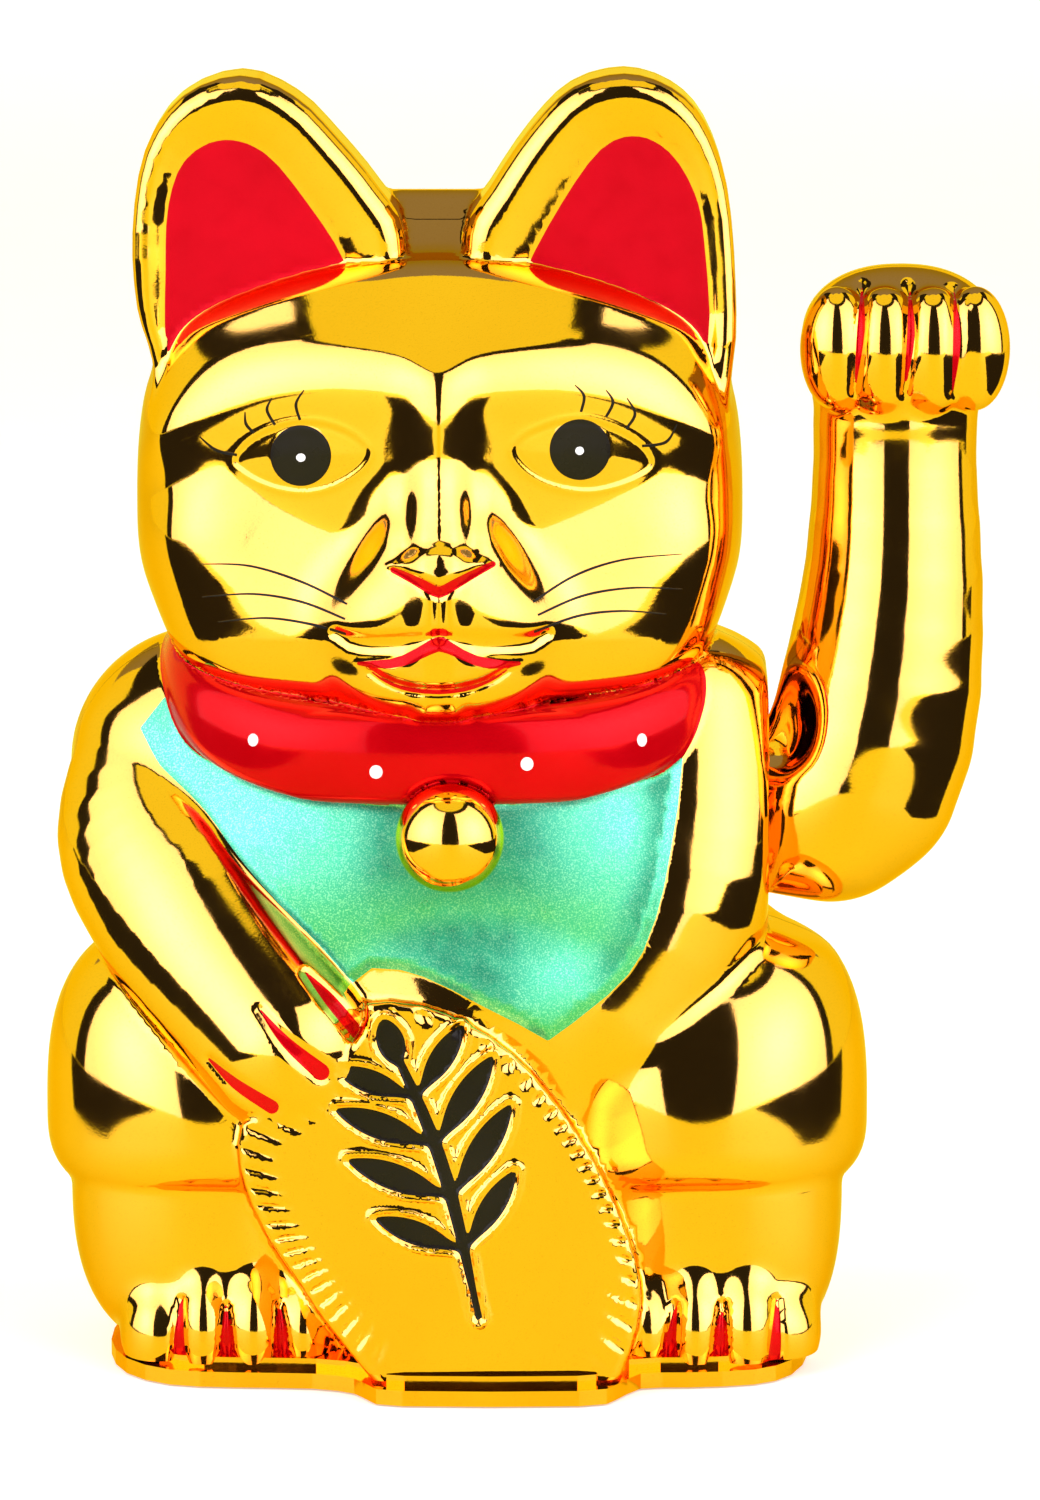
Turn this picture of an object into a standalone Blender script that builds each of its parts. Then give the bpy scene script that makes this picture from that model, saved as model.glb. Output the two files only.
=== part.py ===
"""Beckoning cat figurine: a gold plastic cat whose raised arm swings on a magnet-driven pendulum.

Metres, +Z up. The origin is on the flat underside of the base plate, below the bell, with the cat's
face towards -Y and its raised arm at +X. The two body shells meet at the plane Y = 0.
"""
import math

import bmesh
import bpy
from mathutils import Matrix, Vector

MM = 0.001

# ---- driving dimensions, millimetres -------------------------------------------------
WALL = 2.2              # body shell wall
GAP = 0.15              # half of the joint line between the two shells
BASE_FLANGE = 2.4       # height of the base plate's outer flange
BASE_TOP = 4.0          # top of the base plate's inner step
SHELL_FOOT = 4.3        # lower edge of the shells
PIVOT_Z = 84.0          # height of the arm's pivot axis, which lies along X at Y = 0
SIDE_X = 49.5           # flat side of the body, where the arm goes in
ARM_END_X = 46.5        # inner end of the raised arm
ARM_WALL = 1.6
PIN_R = 1.0
BORE_R = 1.16
CELL_R, CELL_L = 7.1, 50.0
DOOR = (-46.0, 12.0, -19.6, -4.4)      # x0, x1, y0, y1 of the battery opening
MECH_X = 29.0           # middle of the mechanism
MAGNET_Z = 19.6         # lowest point of the pendulum

GOLD = (1.0, 0.62, 0.03)

for old in list(bpy.data.objects):
    bpy.data.objects.remove(old, do_unlink=True)


# ---- helpers ---------------------------------------------------------------------------
def material(name, colour, roughness=0.4, metallic=0.0):
    m = bpy.data.materials.get(name)
    if m is None:
        m = bpy.data.materials.new(name)
        m.use_nodes = True
        b = m.node_tree.nodes["Principled BSDF"]
        b.inputs["Base Color"].default_value = (*colour, 1)
        b.inputs["Roughness"].default_value = roughness
        b.inputs["Metallic"].default_value = metallic
        m.diffuse_color = (*colour, 1)
    return m


MAT = {
    "gold": material("gold_lacquer", GOLD, 0.08, 1.0),
    "white": material("white_abs", (0.85, 0.84, 0.8), 0.45),
    "black": material("black_abs", (0.02, 0.02, 0.02), 0.4),
    "steel": material("steel", (0.6, 0.6, 0.62), 0.25, 1.0),
    "nickel": material("nickel_strip", (0.7, 0.68, 0.62), 0.25, 1.0),
    "copper": material("copper_winding", (0.72, 0.3, 0.12), 0.3, 1.0),
    "board": material("phenolic_board", (0.45, 0.25, 0.08), 0.5),
    "magnet": material("magnet", (0.55, 0.55, 0.57), 0.2, 1.0),
    "cell": material("cell_jacket", (0.05, 0.12, 0.3), 0.35),
    "red": material("red_pvc", (0.6, 0.02, 0.02), 0.4),
    "blackwire": material("black_pvc", (0.02, 0.02, 0.02), 0.4),
}


def link(name, bm_or_mesh, mat=None):
    if isinstance(bm_or_mesh, bmesh.types.BMesh):
        me = bpy.data.meshes.new(name)
        bmesh.ops.recalc_face_normals(bm_or_mesh, faces=bm_or_mesh.faces)
        bm_or_mesh.to_mesh(me)
        bm_or_mesh.free()
    else:
        me = bm_or_mesh
    ob = bpy.data.objects.new(name, me)
    bpy.context.scene.collection.objects.link(ob)
    if mat:
        me.materials.clear()
        me.materials.append(MAT[mat])
    return ob


def shade(ob, angle=38):
    ob.data.shade_smooth()
    ob.data.set_sharp_from_angle(angle=math.radians(angle))
    return ob


def loft(name, rings, start=None, end=None, mat=None):
    """Rings of equal length joined into one closed body; start and end are pole points, else flat caps."""
    bm = bmesh.new()
    vs = [[bm.verts.new(Vector(p)) for p in ring] for ring in rings]
    n = len(rings[0])
    for a, b in zip(vs, vs[1:]):
        for i in range(n):
            bm.faces.new((a[i], a[(i + 1) % n], b[(i + 1) % n], b[i]))
    for ring, pole in ((vs[0], start), (vs[-1], end)):
        if pole is None:
            bm.faces.new(ring)
        else:
            top = bm.verts.new(Vector(pole))
            for i in range(n):
                bm.faces.new((ring[i], ring[(i + 1) % n], top))
    return link(name, bm, mat)


def power(value, e):
    return math.copysign(abs(value) ** e, value)


def blob(name, centre, rx, ry, rz, n=2.0, seg=22, rows=12, turn=0.0):
    """A superellipsoid. ry is (front, rear) depth, rz is (down, up); n = 2 is an ellipsoid; turn leans it about Y."""
    ryf, ryr = ry if isinstance(ry, tuple) else (ry, ry)
    rzd, rzu = rz if isinstance(rz, tuple) else (rz, rz)
    e = 2.0 / n
    rot = Matrix.Rotation(math.radians(turn), 3, "Y")
    c = Vector(centre)

    def at(u, v):
        r = power(math.cos(v), e)
        x = rx * r * power(math.cos(u), e)
        y = r * power(math.sin(u), e)
        y *= ryf if y < 0 else ryr
        z = power(math.sin(v), e)
        z *= rzd if z < 0 else rzu
        return c + rot @ Vector((x, y, z))

    rings = [[at(2 * math.pi * (i + 0.5) / seg, math.pi * (j / rows - 0.5)) for i in range(seg)] for j in range(1, rows)]
    return loft(name, rings, at(0, -math.pi / 2), at(0, math.pi / 2))


def limb(name, path, seg=16, squash=1.0, tip=3):
    """A tapered round limb along path [(x, y, z, r), ...] with domed ends; squash flattens it along Y."""
    pts = [Vector(p[:3]) for p in path]
    rad = [p[3] for p in path]
    rings = []

    def ring(c, d, r):
        u = d.cross(Vector((0, 1, 0)))
        u.normalize()
        v = u.cross(d).normalized()
        return [c + u * (r * math.cos(t)) + v * (r * squash * math.sin(t)) for t in (2 * math.pi * (i + 0.5) / seg for i in range(seg))]

    d0 = (pts[1] - pts[0]).normalized()
    d1 = (pts[-1] - pts[-2]).normalized()
    for k in range(tip, 0, -1):
        a = math.pi / 2 * k / (tip + 1)
        rings.append(ring(pts[0] - d0 * rad[0] * math.sin(a), d0, rad[0] * math.cos(a)))
    for i, c in enumerate(pts):
        a, b = pts[max(0, i - 1)], pts[min(len(pts) - 1, i + 1)]
        rings.append(ring(c, (b - a).normalized(), rad[i]))
    for k in range(1, tip + 1):
        a = math.pi / 2 * k / (tip + 1)
        rings.append(ring(pts[-1] + d1 * rad[-1] * math.sin(a), d1, rad[-1] * math.cos(a)))
    return loft(name, rings, pts[0] - d0 * rad[0], pts[-1] + d1 * rad[-1])


def smooth_outline(points, per=3):
    """A closed Catmull-Rom curve through points, with per steps between neighbours."""
    n, out = len(points), []
    for i in range(n):
        p0, p1, p2, p3 = (Vector(points[(i + k) % n]) for k in (-1, 0, 1, 2))
        for s in range(per):
            t = s / per
            out.append(0.5 * ((2 * p1) + (p2 - p0) * t + (2 * p0 - 5 * p1 + 4 * p2 - p3) * t * t + (3 * p1 - p0 - 3 * p2 + p3) * t ** 3))
    return out


def inset_outline(points, by):
    """The outline moved inwards by `by` along each point's normal (counter-clockwise outline)."""
    n, out = len(points), []
    for i in range(n):
        d = (points[(i + 1) % n] - points[i - 1]).normalized()
        out.append(points[i] + Vector((-d.y, d.x)) * by)
    return out


def area_sign(points):
    return sum(points[i - 1].x * p.y - p.x * points[i - 1].y for i, p in enumerate(points))


def slab(name, outline, low, high, axis="Z", mat=None):
    """An outline [(a, b), ...] extruded along Z (a=x, b=y) or along Y (a=x, b=z)."""
    put = (lambda a, b, c: (a, b, c)) if axis == "Z" else (lambda a, b, c: (a, c, b))
    return loft(name, [[put(p[0], p[1], c) for p in outline] for c in (low, high)], mat=mat)


def box(name, x0, x1, y0, y1, z0, z1, mat=None):
    return slab(name, [(x0, y0), (x1, y0), (x1, y1), (x0, y1)], z0, z1, mat=mat)


def turned(name, profile, seg=24, centre=(0, 0, 0), axis="Z", mat=None):
    """A body turned about an axis through centre. profile is [(radius, height), ...], closed on itself unless it starts and ends at radius 0."""
    def put(r, h, t):
        a, b = r * math.cos(t), r * math.sin(t)
        x, y, z = {"Z": (a, b, h), "X": (h, a, b), "Y": (a, h, b)}[axis]
        return (centre[0] + x, centre[1] + y, centre[2] + z)
    angles = [2 * math.pi * (i + 0.5) / seg for i in range(seg)]
    solid = profile[0][0] == 0
    body = profile[1:-1] if solid else profile
    if solid:
        return loft(name, [[put(r, h, t) for t in angles] for r, h in body], put(0, profile[0][1], 0), put(0, profile[-1][1], 0), mat=mat)
    bm = bmesh.new()
    vs = [[bm.verts.new(Vector(put(r, h, t))) for t in angles] for r, h in body]
    for a, b in zip(vs, vs[1:] + vs[:1]):
        for i in range(seg):
            bm.faces.new((a[i], a[(i + 1) % seg], b[(i + 1) % seg], b[i]))
    return link(name, bm, mat)


def rod(name, x0, x1, r, centre=(0, 0), axis="X", seg=16, mat=None, bevel=0.0):
    """A plain cylinder. centre holds its other two coordinates, in X, Y, Z order."""
    c = {"X": (0, centre[0], centre[1]), "Y": (centre[0], 0, centre[1]), "Z": (centre[0], centre[1], 0)}[axis]
    prof = [(0, x0), (r, x0), (r, x1), (0, x1)]
    if bevel:
        prof = [(0, x0), (r - bevel, x0), (r, x0 + bevel), (r, x1 - bevel), (r - bevel, x1), (0, x1)]
    return turned(name, prof, seg, c, axis, mat)


def merged(target, others, operation):
    """Boolean modifiers, applied; the other bodies are used up."""
    for other in others:
        m = target.modifiers.new(operation.lower(), "BOOLEAN")
        m.operation, m.solver, m.object = operation, "EXACT", other
        graph = bpy.context.evaluated_depsgraph_get()
        me = bpy.data.meshes.new_from_object(target.evaluated_get(graph))
        target.modifiers.clear()
        target.data = me
    for other in others:
        bpy.data.objects.remove(other, do_unlink=True)
    return target


def union(target, *others):
    return merged(target, others, "UNION")


def cut(target, *others):
    return merged(target, others, "DIFFERENCE")


def keep(target, other):
    return merged(target, [other], "INTERSECT")


def copy_of(ob, name):
    c = ob.copy()
    c.data = ob.data.copy()
    c.name = name
    bpy.context.scene.collection.objects.link(c)
    return c


def finish(ob, name, mat, angle=38):
    ob.name = name
    ob.data.name = name
    ob.data.transform(Matrix.Scale(MM, 4))
    ob.data.materials.clear()
    ob.data.materials.append(MAT[mat])
    for p in ob.data.polygons:
        p.material_index = 0
    return shade(ob, angle)


# ---- the cat's body, as one closed form ------------------------------------------------
EAR_L = [(-44.0, 150.0), (-47.6, 164.0), (-48.2, 176.0), (-46.1, 189.0), (-40.6, 197.0), (-31.2, 200.0), (-22.9, 196.7), (-16.8, 190.5), (-10.5, 182.9), (-7.9, 176.4), (-9.5, 165.0), (-20.0, 150.0)]
EAR_R = [(41.5, 150.0), (44.2, 164.0), (43.4, 176.0), (42.1, 184.0), (38.7, 193.6), (34.0, 198.2), (26.9, 200.3), (18.6, 198.2), (12.5, 192.0), (6.2, 183.2), (3.4, 176.4), (5.0, 165.0), (16.0, 150.0)]
COIN = [(-11.0, 61.5), (-3.0, 60.6), (10.5, 54.0), (20.2, 41.8), (26.6, 27.6), (28.4, 15.2), (26.0, 2.0), (-9.0, 2.0), (-16.4, 10.6), (-23.1, 19.3), (-28.8, 29.9), (-31.0, 39.4), (-28.0, 47.0), (-19.0, 57.0)]


def ear(name, outline, inset, front, rear):
    c = Vector((sum(p[0] for p in outline) / len(outline), sum(p[1] for p in outline) / len(outline)))
    def ring(by, y):
        pts = []
        for p in outline:
            v = Vector(p) - c
            pts.append((c.x + v.x * (1 - by / v.length), y, c.y + v.y * (1 - by / v.length)))
        return pts
    return loft(name, [ring(inset + 3.0, front), ring(inset, front + 3.5), ring(inset, 0.0), ring(inset + 0.8, rear - 4.0), ring(inset + 4.0, rear)])


def coin(name, inset):
    """The big oval coin: its face leans back towards the top."""
    c = Vector((-1.5, 30.0))
    def ring(by, front):
        pts = []
        for p in COIN:
            v = Vector(p) - c
            q = c + v * (1 - by / v.length)
            pts.append((q.x, -15.0 if front is None else front - 45.6 + 0.115 * q.y, q.y))
        return pts
    return loft(name, [ring(inset, None), ring(inset, 3.0), ring(inset + 2.5, 0.6 + inset)])


def collar(name, grow, half_height):
    """The collar ring, which dips towards the front."""
    rings, seg = [], 28
    for k, (dr, dz) in enumerate(((0.0, -half_height), (grow, -half_height * 0.5), (grow, half_height * 0.5), (0.0, half_height))):
        ring = []
        for i in range(seg):
            t = 2 * math.pi * (i + 0.5) / seg
            x, y = math.cos(t), math.sin(t)
            rx, ry = 41.0 + dr, (33.5 if y < 0 else 29.0) + dr
            ring.append((-1.0 + rx * x, ry * y, 107.0 + dz + (11.0 * y if y < 0 else 3.0 * y)))
        rings.append(ring)
    return loft(name, rings)


def body(shrink, detail):
    """The body's outer form at shrink 0, and the room inside it at shrink WALL."""
    s = shrink
    big, small = (24, 14) if detail else (16, 9), (16, 10) if detail else (12, 7)
    parts = [
        blob("head", (-1.5, 0, 138.0), 46.8 - s, (36.0 - s, 31.0 - s), (33.6 - s, 37.0 - s), 2.7, *big),
        blob("chest", (-1.5, 2.0, 78.0), 57.5 - s, (32.0 - s, 33.0 - s), (44.0 - s, 37.5 - s), 2.4, *big),
        blob("belly", (1.0, 2.0, 36.0), 52.0 - s, (35.0 - s, 36.5 - s), (70.0, 44.0 - s), 2.6, *big),
        blob("left_haunch", (-38.0, -6.0, 46.5), 25.0 - s, (30.0 - s, 33.0 - s), (25.5 - s, 24.0 - s), 2.2, *small),
        blob("right_haunch", (38.5, -6.0, 46.5), 27.0 - s, (30.0 - s, 33.0 - s), (25.5 - s, 25.0 - s), 2.2, *small),
        blob("left_foot", (-36.5, -9.0, 8.0), 21.5 - s, (24.6 - s, 26.0 - s), (20.0, 20.0 - s), 2.6, *small),
        blob("right_foot", (39.5, -9.0, 8.0), 20.5 - s, (24.6 - s, 26.0 - s), (20.0, 20.0 - s), 2.6, *small),
        limb("folded_arm", [(-43.5, -4, 86, 17.5 - s), (-41.5, -14, 73, 16.6 - s), (-31.0, -24, 60, 14.5 - s), (-24.5, -27, 53.5, 13.6 - s)], 14 if detail else 10, 0.92, 2),
        ear("left_ear", EAR_L, s, -13.0 + s, 13.0 - s),
        ear("right_ear", EAR_R, s, -13.0 + s, 13.0 - s),
    ]
    if detail:
        parts += [
            coin("coin", 0.0),
            collar("collar", 3.2, 7.5),
            blob("bell", (0.3, -36.5, 86.8), 8.2, 8.2, 8.2, 2.0, 14, 8),
            blob("muzzle", (-1.2, -29.5, 119.0), 19.0, 9.5, 11.0, 2.0, 16, 8),
        ]
    else:
        parts += [
            coin("coin_room", s),
            blob("neck_room", (-1.5, 0, 106), 34.0, (26.0, 24.0), 16.0, 2.4, 14, 7),
        ]
    first, *rest = parts
    form = union(first, *rest)
    dx = s
    side = slab("side_cut", [(SIDE_X - dx, 112), (SIDE_X - dx, 67.5 - dx), (62.0 - dx, 62.5 - dx), (70, 58 - dx), (90, 58 - dx), (90, 112)], -70, 70, "Y")
    low = box("low_cut", -90, 90, -90, 90, -40, SHELL_FOOT if detail else SHELL_FOOT - 8)
    return cut(form, side, low)


outer = body(0.0, True)
room = body(WALL, False)
room_rear = copy_of(room, "room_rear")
outer_rear = copy_of(outer, "outer_rear")


def boss(name, x, y, toward):
    """A screw boss with a rib running towards the shell wall."""
    post = rod(name, SHELL_FOOT, 17.0, 3.6, (x, y), "Z", 14)
    d = Vector(toward)
    n = Vector((-d.y, d.x)).normalized() * 1.1
    d = d.normalized() * Vector(toward).length
    p = Vector((x, y))
    q = [p + n, p - n, p + d - n, p + d + n]
    return union(post, slab(name + "_rib", [(a.x, a.y) for a in q], SHELL_FOOT, 15.0))


SCREWS = [(-38.0, -25.0), (41.0, -25.0), (-37.0, 20.0), (40.6, 20.0)]
REACH = [(-4.0, -6.5), (4.0, -6.5), (-4.5, 5.5), (4.0, 6.5)]


def shell(form, cavity, front, name):
    half = box("half", -90, 90, *((-90, -GAP) if front else (GAP, 90)), -10, 230)
    form = keep(form, half)
    form = cut(form, cavity, rod("arm_opening", SIDE_X - 8, SIDE_X + 8, 13.3, (0, PIVOT_Z), "X", 28))
    for i in (0, 1) if front else (2, 3):
        (x, y), t = SCREWS[i], REACH[i]
        form = union(form, boss(f"boss{i}", x, y, t))
        form = cut(form, rod(f"pilot{i}", 0, 14.5, 1.5, (x, y), "Z", 10))
    return finish(form, name, "gold")


shell(outer, room, True, "front_shell")
shell(outer_rear, room_rear, False, "rear_shell")

# ---- base plate, with battery tray -------------------------------------------------------
OUTLINE = smooth_outline([(-7, -46), (20, -46), (25.5, -42.5), (29.5, -35.5), (37, -34.8), (47, -33), (53, -27), (56, -14), (55, 0), (52, 13), (46, 25), (34, 33.5), (16, 38), (1, 38.8), (-14, 38), (-32, 33.5), (-43, 25), (-49, 13), (-52, 0), (-53, -14), (-50, -26), (-43, -33), (-33, -34.8), (-21, -35.5), (-14.5, -38.5), (-12, -43)], 2)
if area_sign(OUTLINE) < 0:
    OUTLINE.reverse()
STEP_LINE = inset_outline(OUTLINE, 3.0)
plate = slab("base_plate", OUTLINE, 0.0, BASE_FLANGE)
plate = union(plate, slab("step", STEP_LINE, BASE_FLANGE - 1.0, BASE_TOP))
x0, x1, y0, y1 = DOOR
tray = box("tray", x0 - 1.6, x1 + 1.6, y0 - 1.2, y1 + 1.2, 1.0, 19.8)
plate = union(plate, tray)
plate = cut(
    plate,
    box("tray_room", x0, x1, y0, y1, 2.6, 18.4),
    box("door_cut", x0 - 0.6, x1 + 0.6, y0 - 0.6, y1 + 0.6, -1.0, 2.7),
    box("lead_notch_a", x1 - 1.0, x1 + 3.0, -13.0, -11.0, 12.0, 15.0),
    box("lead_notch_b", -43.4, -41.4, y1 - 1.0, y1 + 3.0, 12.5, 15.0),
    box("switch_slot", -27.6, -20.4, 8.6, 11.4, -1.0, 6.0),
)
# a finger recess beside the door latch
plate = cut(plate, slab("finger", [(x0 - 0.4 - 4.2 * math.sin(t), -12 + 4.2 * math.cos(t)) for t in (math.pi * k / 8 for k in range(9))], -1.0, 1.6))
for i, (x, y) in enumerate(SCREWS):
    plate = cut(plate, rod(f"hole{i}", -1, 6, 1.75, (x, y), "Z", 12), rod(f"sink{i}", -1, 2.2, 3.4, (x, y), "Z", 16))
FRAME_SCREWS = [(15.5, 9.0), (43.0, 9.0), (43.0, -9.0)]
for i, (x, y) in enumerate(FRAME_SCREWS):
    plate = cut(plate, rod(f"fpilot{i}", 1.2, 6, 1.3, (x, y), "Z", 10))
finish(plate, "base_plate", "gold")

# battery door: hinges down about its right-hand end, held shut by a latch tab at the left
door = box("battery_door", x0 + 0.1, x1 + 0.2, y0 - 0.2, y1 + 0.2, 0.4, 2.2)
door = union(door, box("latch", x0 + 0.4, x0 + 1.6, -15, -9, 1.8, 4.7), box("latch_rib", -20, -18.6, y0 + 1.2, y1 - 1.2, 1.8, 2.9))
for k in range(5):
    door = cut(door, box(f"grip{k}", x0 + 4 + 2.0 * k, x0 + 5 + 2.0 * k, -16, -8, -0.5, 0.9))
finish(door, "battery_door", "gold")


def screw(name, x, y, low, head_r, head_h, shank_r, length):
    """A pan-head self-tapping screw pointing up, with a cross recess."""
    s = turned(name, [(0, low), (head_r - 0.4, low), (head_r, low + 0.5), (head_r, low + head_h), (shank_r, low + head_h), (shank_r, low + length - 1.6), (0.35, low + length), (0, low + length)], 14, (x, y, 0))
    s = cut(s, box("slot_a", x - 0.35, x + 0.35, y - 1.5, y + 1.5, low - 1, low + 0.8), box("slot_b", x - 1.5, x + 1.5, y - 0.35, y + 0.35, low - 1, low + 0.8))
    return finish(s, name, "steel")


for i, (x, y) in enumerate(SCREWS):
    screw(f"base_screw_{i + 1}", x, y, 0.35, 3.0, 1.6, 1.3, 11.5)

# ---- battery, contacts ------------------------------------------------------------------
CY, CZ = -12.0, 10.4
cell = turned("battery_cell", [(0, -40.4), (5.0, -40.4), (5.0, -40.0), (6.5, -40.0), (CELL_R, -39.4), (CELL_R, 8.4), (6.5, 9.0), (2.7, 9.0), (2.7, 10.4), (0, 10.4)], 20, (0, CY, CZ), "X")
finish(cell, "battery_cell", "cell")
plus = box("plus_contact", 11.2, 11.6, -17.2, -6.8, 5.2, 16.6)
plus = union(plus, box("tag", 11.2, 13.9, -12.5, -11.5, 13.2, 13.7))
finish(plus, "battery_plus_contact", "nickel")
minus = box("minus_contact", -45.7, -45.3, -17.2, -6.8, 5.2, 16.6)
minus = union(minus, box("tag", -45.7, -42.0, -6.9, -6.5, 13.2, 14.4))
finish(minus, "battery_minus_contact", "nickel")


def tube(name, points, r, mat, sides=2, closed_ends=True):
    cu = bpy.data.curves.new(name, "CURVE")
    cu.dimensions = "3D"
    cu.bevel_depth = r * MM
    cu.bevel_resolution = sides
    cu.use_fill_caps = closed_ends
    sp = cu.splines.new("POLY")
    sp.points.add(len(points) - 1)
    for a, b in zip(sp.points, points):
        a.co = (b[0] * MM, b[1] * MM, b[2] * MM, 1)
    ob = bpy.data.objects.new(name, cu)
    bpy.context.scene.collection.objects.link(ob)
    cu.materials.append(MAT[mat])
    return ob


def flowing(points, per=4):
    """Points of a smooth open curve through the route's own points."""
    p = [Vector(q) for q in points]
    p = [2 * p[0] - p[1]] + p + [2 * p[-1] - p[-2]]
    out = []
    for i in range(1, len(p) - 2):
        for s in range(per):
            t = s / per
            out.append(0.5 * ((2 * p[i]) + (p[i + 1] - p[i - 1]) * t + (2 * p[i - 1] - 5 * p[i] + 4 * p[i + 1] - p[i + 2]) * t * t + (3 * p[i] - p[i - 1] - 3 * p[i + 1] + p[i + 2]) * t ** 3))
    return out + [p[-2]]


# the conical spring that presses on the cell's negative end
coil_pts = []
TURNS, PER = 3.0, 12
for k in range(int(TURNS * PER) + 1):
    t = k / (TURNS * PER)
    a = 2 * math.pi * TURNS * t
    r = 4.8 - 2.2 * t
    coil_pts.append((-44.8 + 3.8 * t, CY + r * math.cos(a), CZ + r * math.sin(a)))
tube("battery_spring", coil_pts, 0.3, "nickel", 1)

# ---- mechanism frame ----------------------------------------------------------------------
frame = box("mechanism_frame", 12.0 + 2.2, 45.2, -12.0, 12.0, BASE_TOP + 0.3, 6.2)
frame = cut(frame, box("board_window", 21.6, 36.6, -13, 13, 0, 7))
for xa in (18.4, 38.0):
    cheek = loft("cheek", [[(xa, -9.5, 5.0), (xa + 2.2, -9.5, 5.0), (xa + 2.2, 9.5, 5.0), (xa, 9.5, 5.0)], [(xa, -4.6, 92.0), (xa + 2.2, -4.6, 92.0), (xa + 2.2, 4.6, 92.0), (xa, 4.6, 92.0)]])
    frame = union(frame, cheek)
frame = union(frame, box("tie_top", 19.0, 39.0, -2.0, 2.0, 89.4, 91.6), box("tie_front", 19.0, 39.0, -9.8, -7.9, 5.0, 6.2), box("tie_rear", 19.0, 39.0, 7.9, 9.8, 5.0, 6.2))
frame = cut(frame, rod("pin_bore", 10, 50, BORE_R, (0, PIVOT_Z), "X", 16), *[rod(f"fh{i}", 3, 8, 1.5, p, "Z", 10) for i, p in enumerate(FRAME_SCREWS)])
finish(frame, "mechanism_frame", "white")
for i, (x, y) in enumerate(FRAME_SCREWS):
    s = turned(f"frame_screw_{i + 1}", [(0, 1.6), (0.4, 1.6), (1.05, 2.6), (1.05, 6.5), (2.4, 6.5), (2.4, 7.6), (1.9, 8.1), (0, 8.1)], 12, (x, y, 0))
    finish(s, f"frame_screw_{i + 1}", "steel")

# ---- drive board and coil -------------------------------------------------------------------
BZ = 6.6
finish(box("circuit_board", 21.9, 36.3, -24.0, 22.5, BZ, BZ + 1.6), "circuit_board", "board")
T = BZ + 1.9
bobbin = turned("coil_bobbin", [(1.6, T), (7.2, T), (7.2, T + 1.0), (3.2, T + 1.0), (3.2, T + 6.4), (7.2, T + 6.4), (7.2, T + 7.4), (1.6, T + 7.4)], 20, (MECH_X, 0, 0))
finish(bobbin, "coil_bobbin", "white")
winding = turned("drive_coil", [(3.5, T + 1.3), (6.6, T + 1.3), (6.8, T + 1.8), (6.8, T + 5.6), (6.6, T + 6.1), (3.5, T + 6.1)], 20, (MECH_X, 0, 0))
finish(winding, "drive_coil", "copper")
chip = union(rod("drive_transistor", T, T + 4.6, 2.4, (MECH_X, -17.0), "Z", 14), box("chipflat", MECH_X - 2.3, MECH_X + 2.3, -17.0, -15.0, T, T + 4.6))
finish(chip, "drive_transistor", "black")
cap = rod("timing_capacitor", T, T + 6.5, 2.5, (MECH_X, 16.5), "Z", 16, bevel=0.4)
finish(cap, "timing_capacitor", "cell")
finish(rod("start_resistor", MECH_X - 3.2, MECH_X + 3.2, 1.1, (-11.6, T + 1.2), "X", 12, bevel=0.3), "start_resistor", "board")

# ---- pendulum, which turns with the arm ----------------------------------------------------
pin = rod("pivot_pin", 16.0, 54.0, PIN_R, (0, PIVOT_Z), "X", 12, bevel=0.2)
finish(pin, "pivot_pin", "steel")
collar_ring = turned("pin_retainer", [(BORE_R, 16.6), (2.4, 16.6), (2.4, 17.6), (BORE_R, 17.6)], 14, (0, 0, PIVOT_Z), "X")
finish(collar_ring, "pin_retainer", "steel")
lever = rod("pendulum_lever", 23.0, 35.0, 3.8, (0, PIVOT_Z), "X", 16)
lever = union(lever, box("bar", 27.2, 30.8, -3.4, 3.4, 28.0, PIVOT_Z - 1), rod("cup", MAGNET_Z + 0.6, MAGNET_Z + 9.5, 6.6, (MECH_X, 0), "Z", 20))
lever = cut(lever, rod("cup_room", MAGNET_Z - 3, MAGNET_Z + 5.9, 5.35, (MECH_X, 0), "Z", 20), rod("hub_bore", 20, 38, BORE_R, (0, PIVOT_Z), "X", 16))
finish(lever, "pendulum_lever", "white")
finish(rod("pendulum_magnet", MAGNET_Z, MAGNET_Z + 5.4, 5.0, (MECH_X, 0), "Z", 20, bevel=0.3), "pendulum_magnet", "magnet")
for name, xa in (("pendulum_weight_left", 22.4), ("pendulum_weight_right", 31.1)):
    w = box(name, xa, xa + 4.5, -5.5, 5.5, 31.5, 46.5)
    finish(w, name, "steel")
spigot = turned("arm_spigot", [(BORE_R, 41.2), (4.6, 41.2), (4.6, 43.0), (3.0, 43.4), (3.0, 57.0), (2.6, 57.6), (BORE_R, 57.6)], 16, (0, 0, PIVOT_Z), "X")
finish(spigot, "arm_spigot", "white")
socket = turned("arm_socket", [(3.25, ARM_END_X + 0.4), (5.0, ARM_END_X + 0.4), (5.0, 48.6), (8.4, 48.6), (8.4, 50.2), (5.0, 50.2), (5.0, 59.0), (3.25, 59.0)], 18, (0, 0, PIVOT_Z), "X")
finish(socket, "arm_socket", "white")

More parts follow.
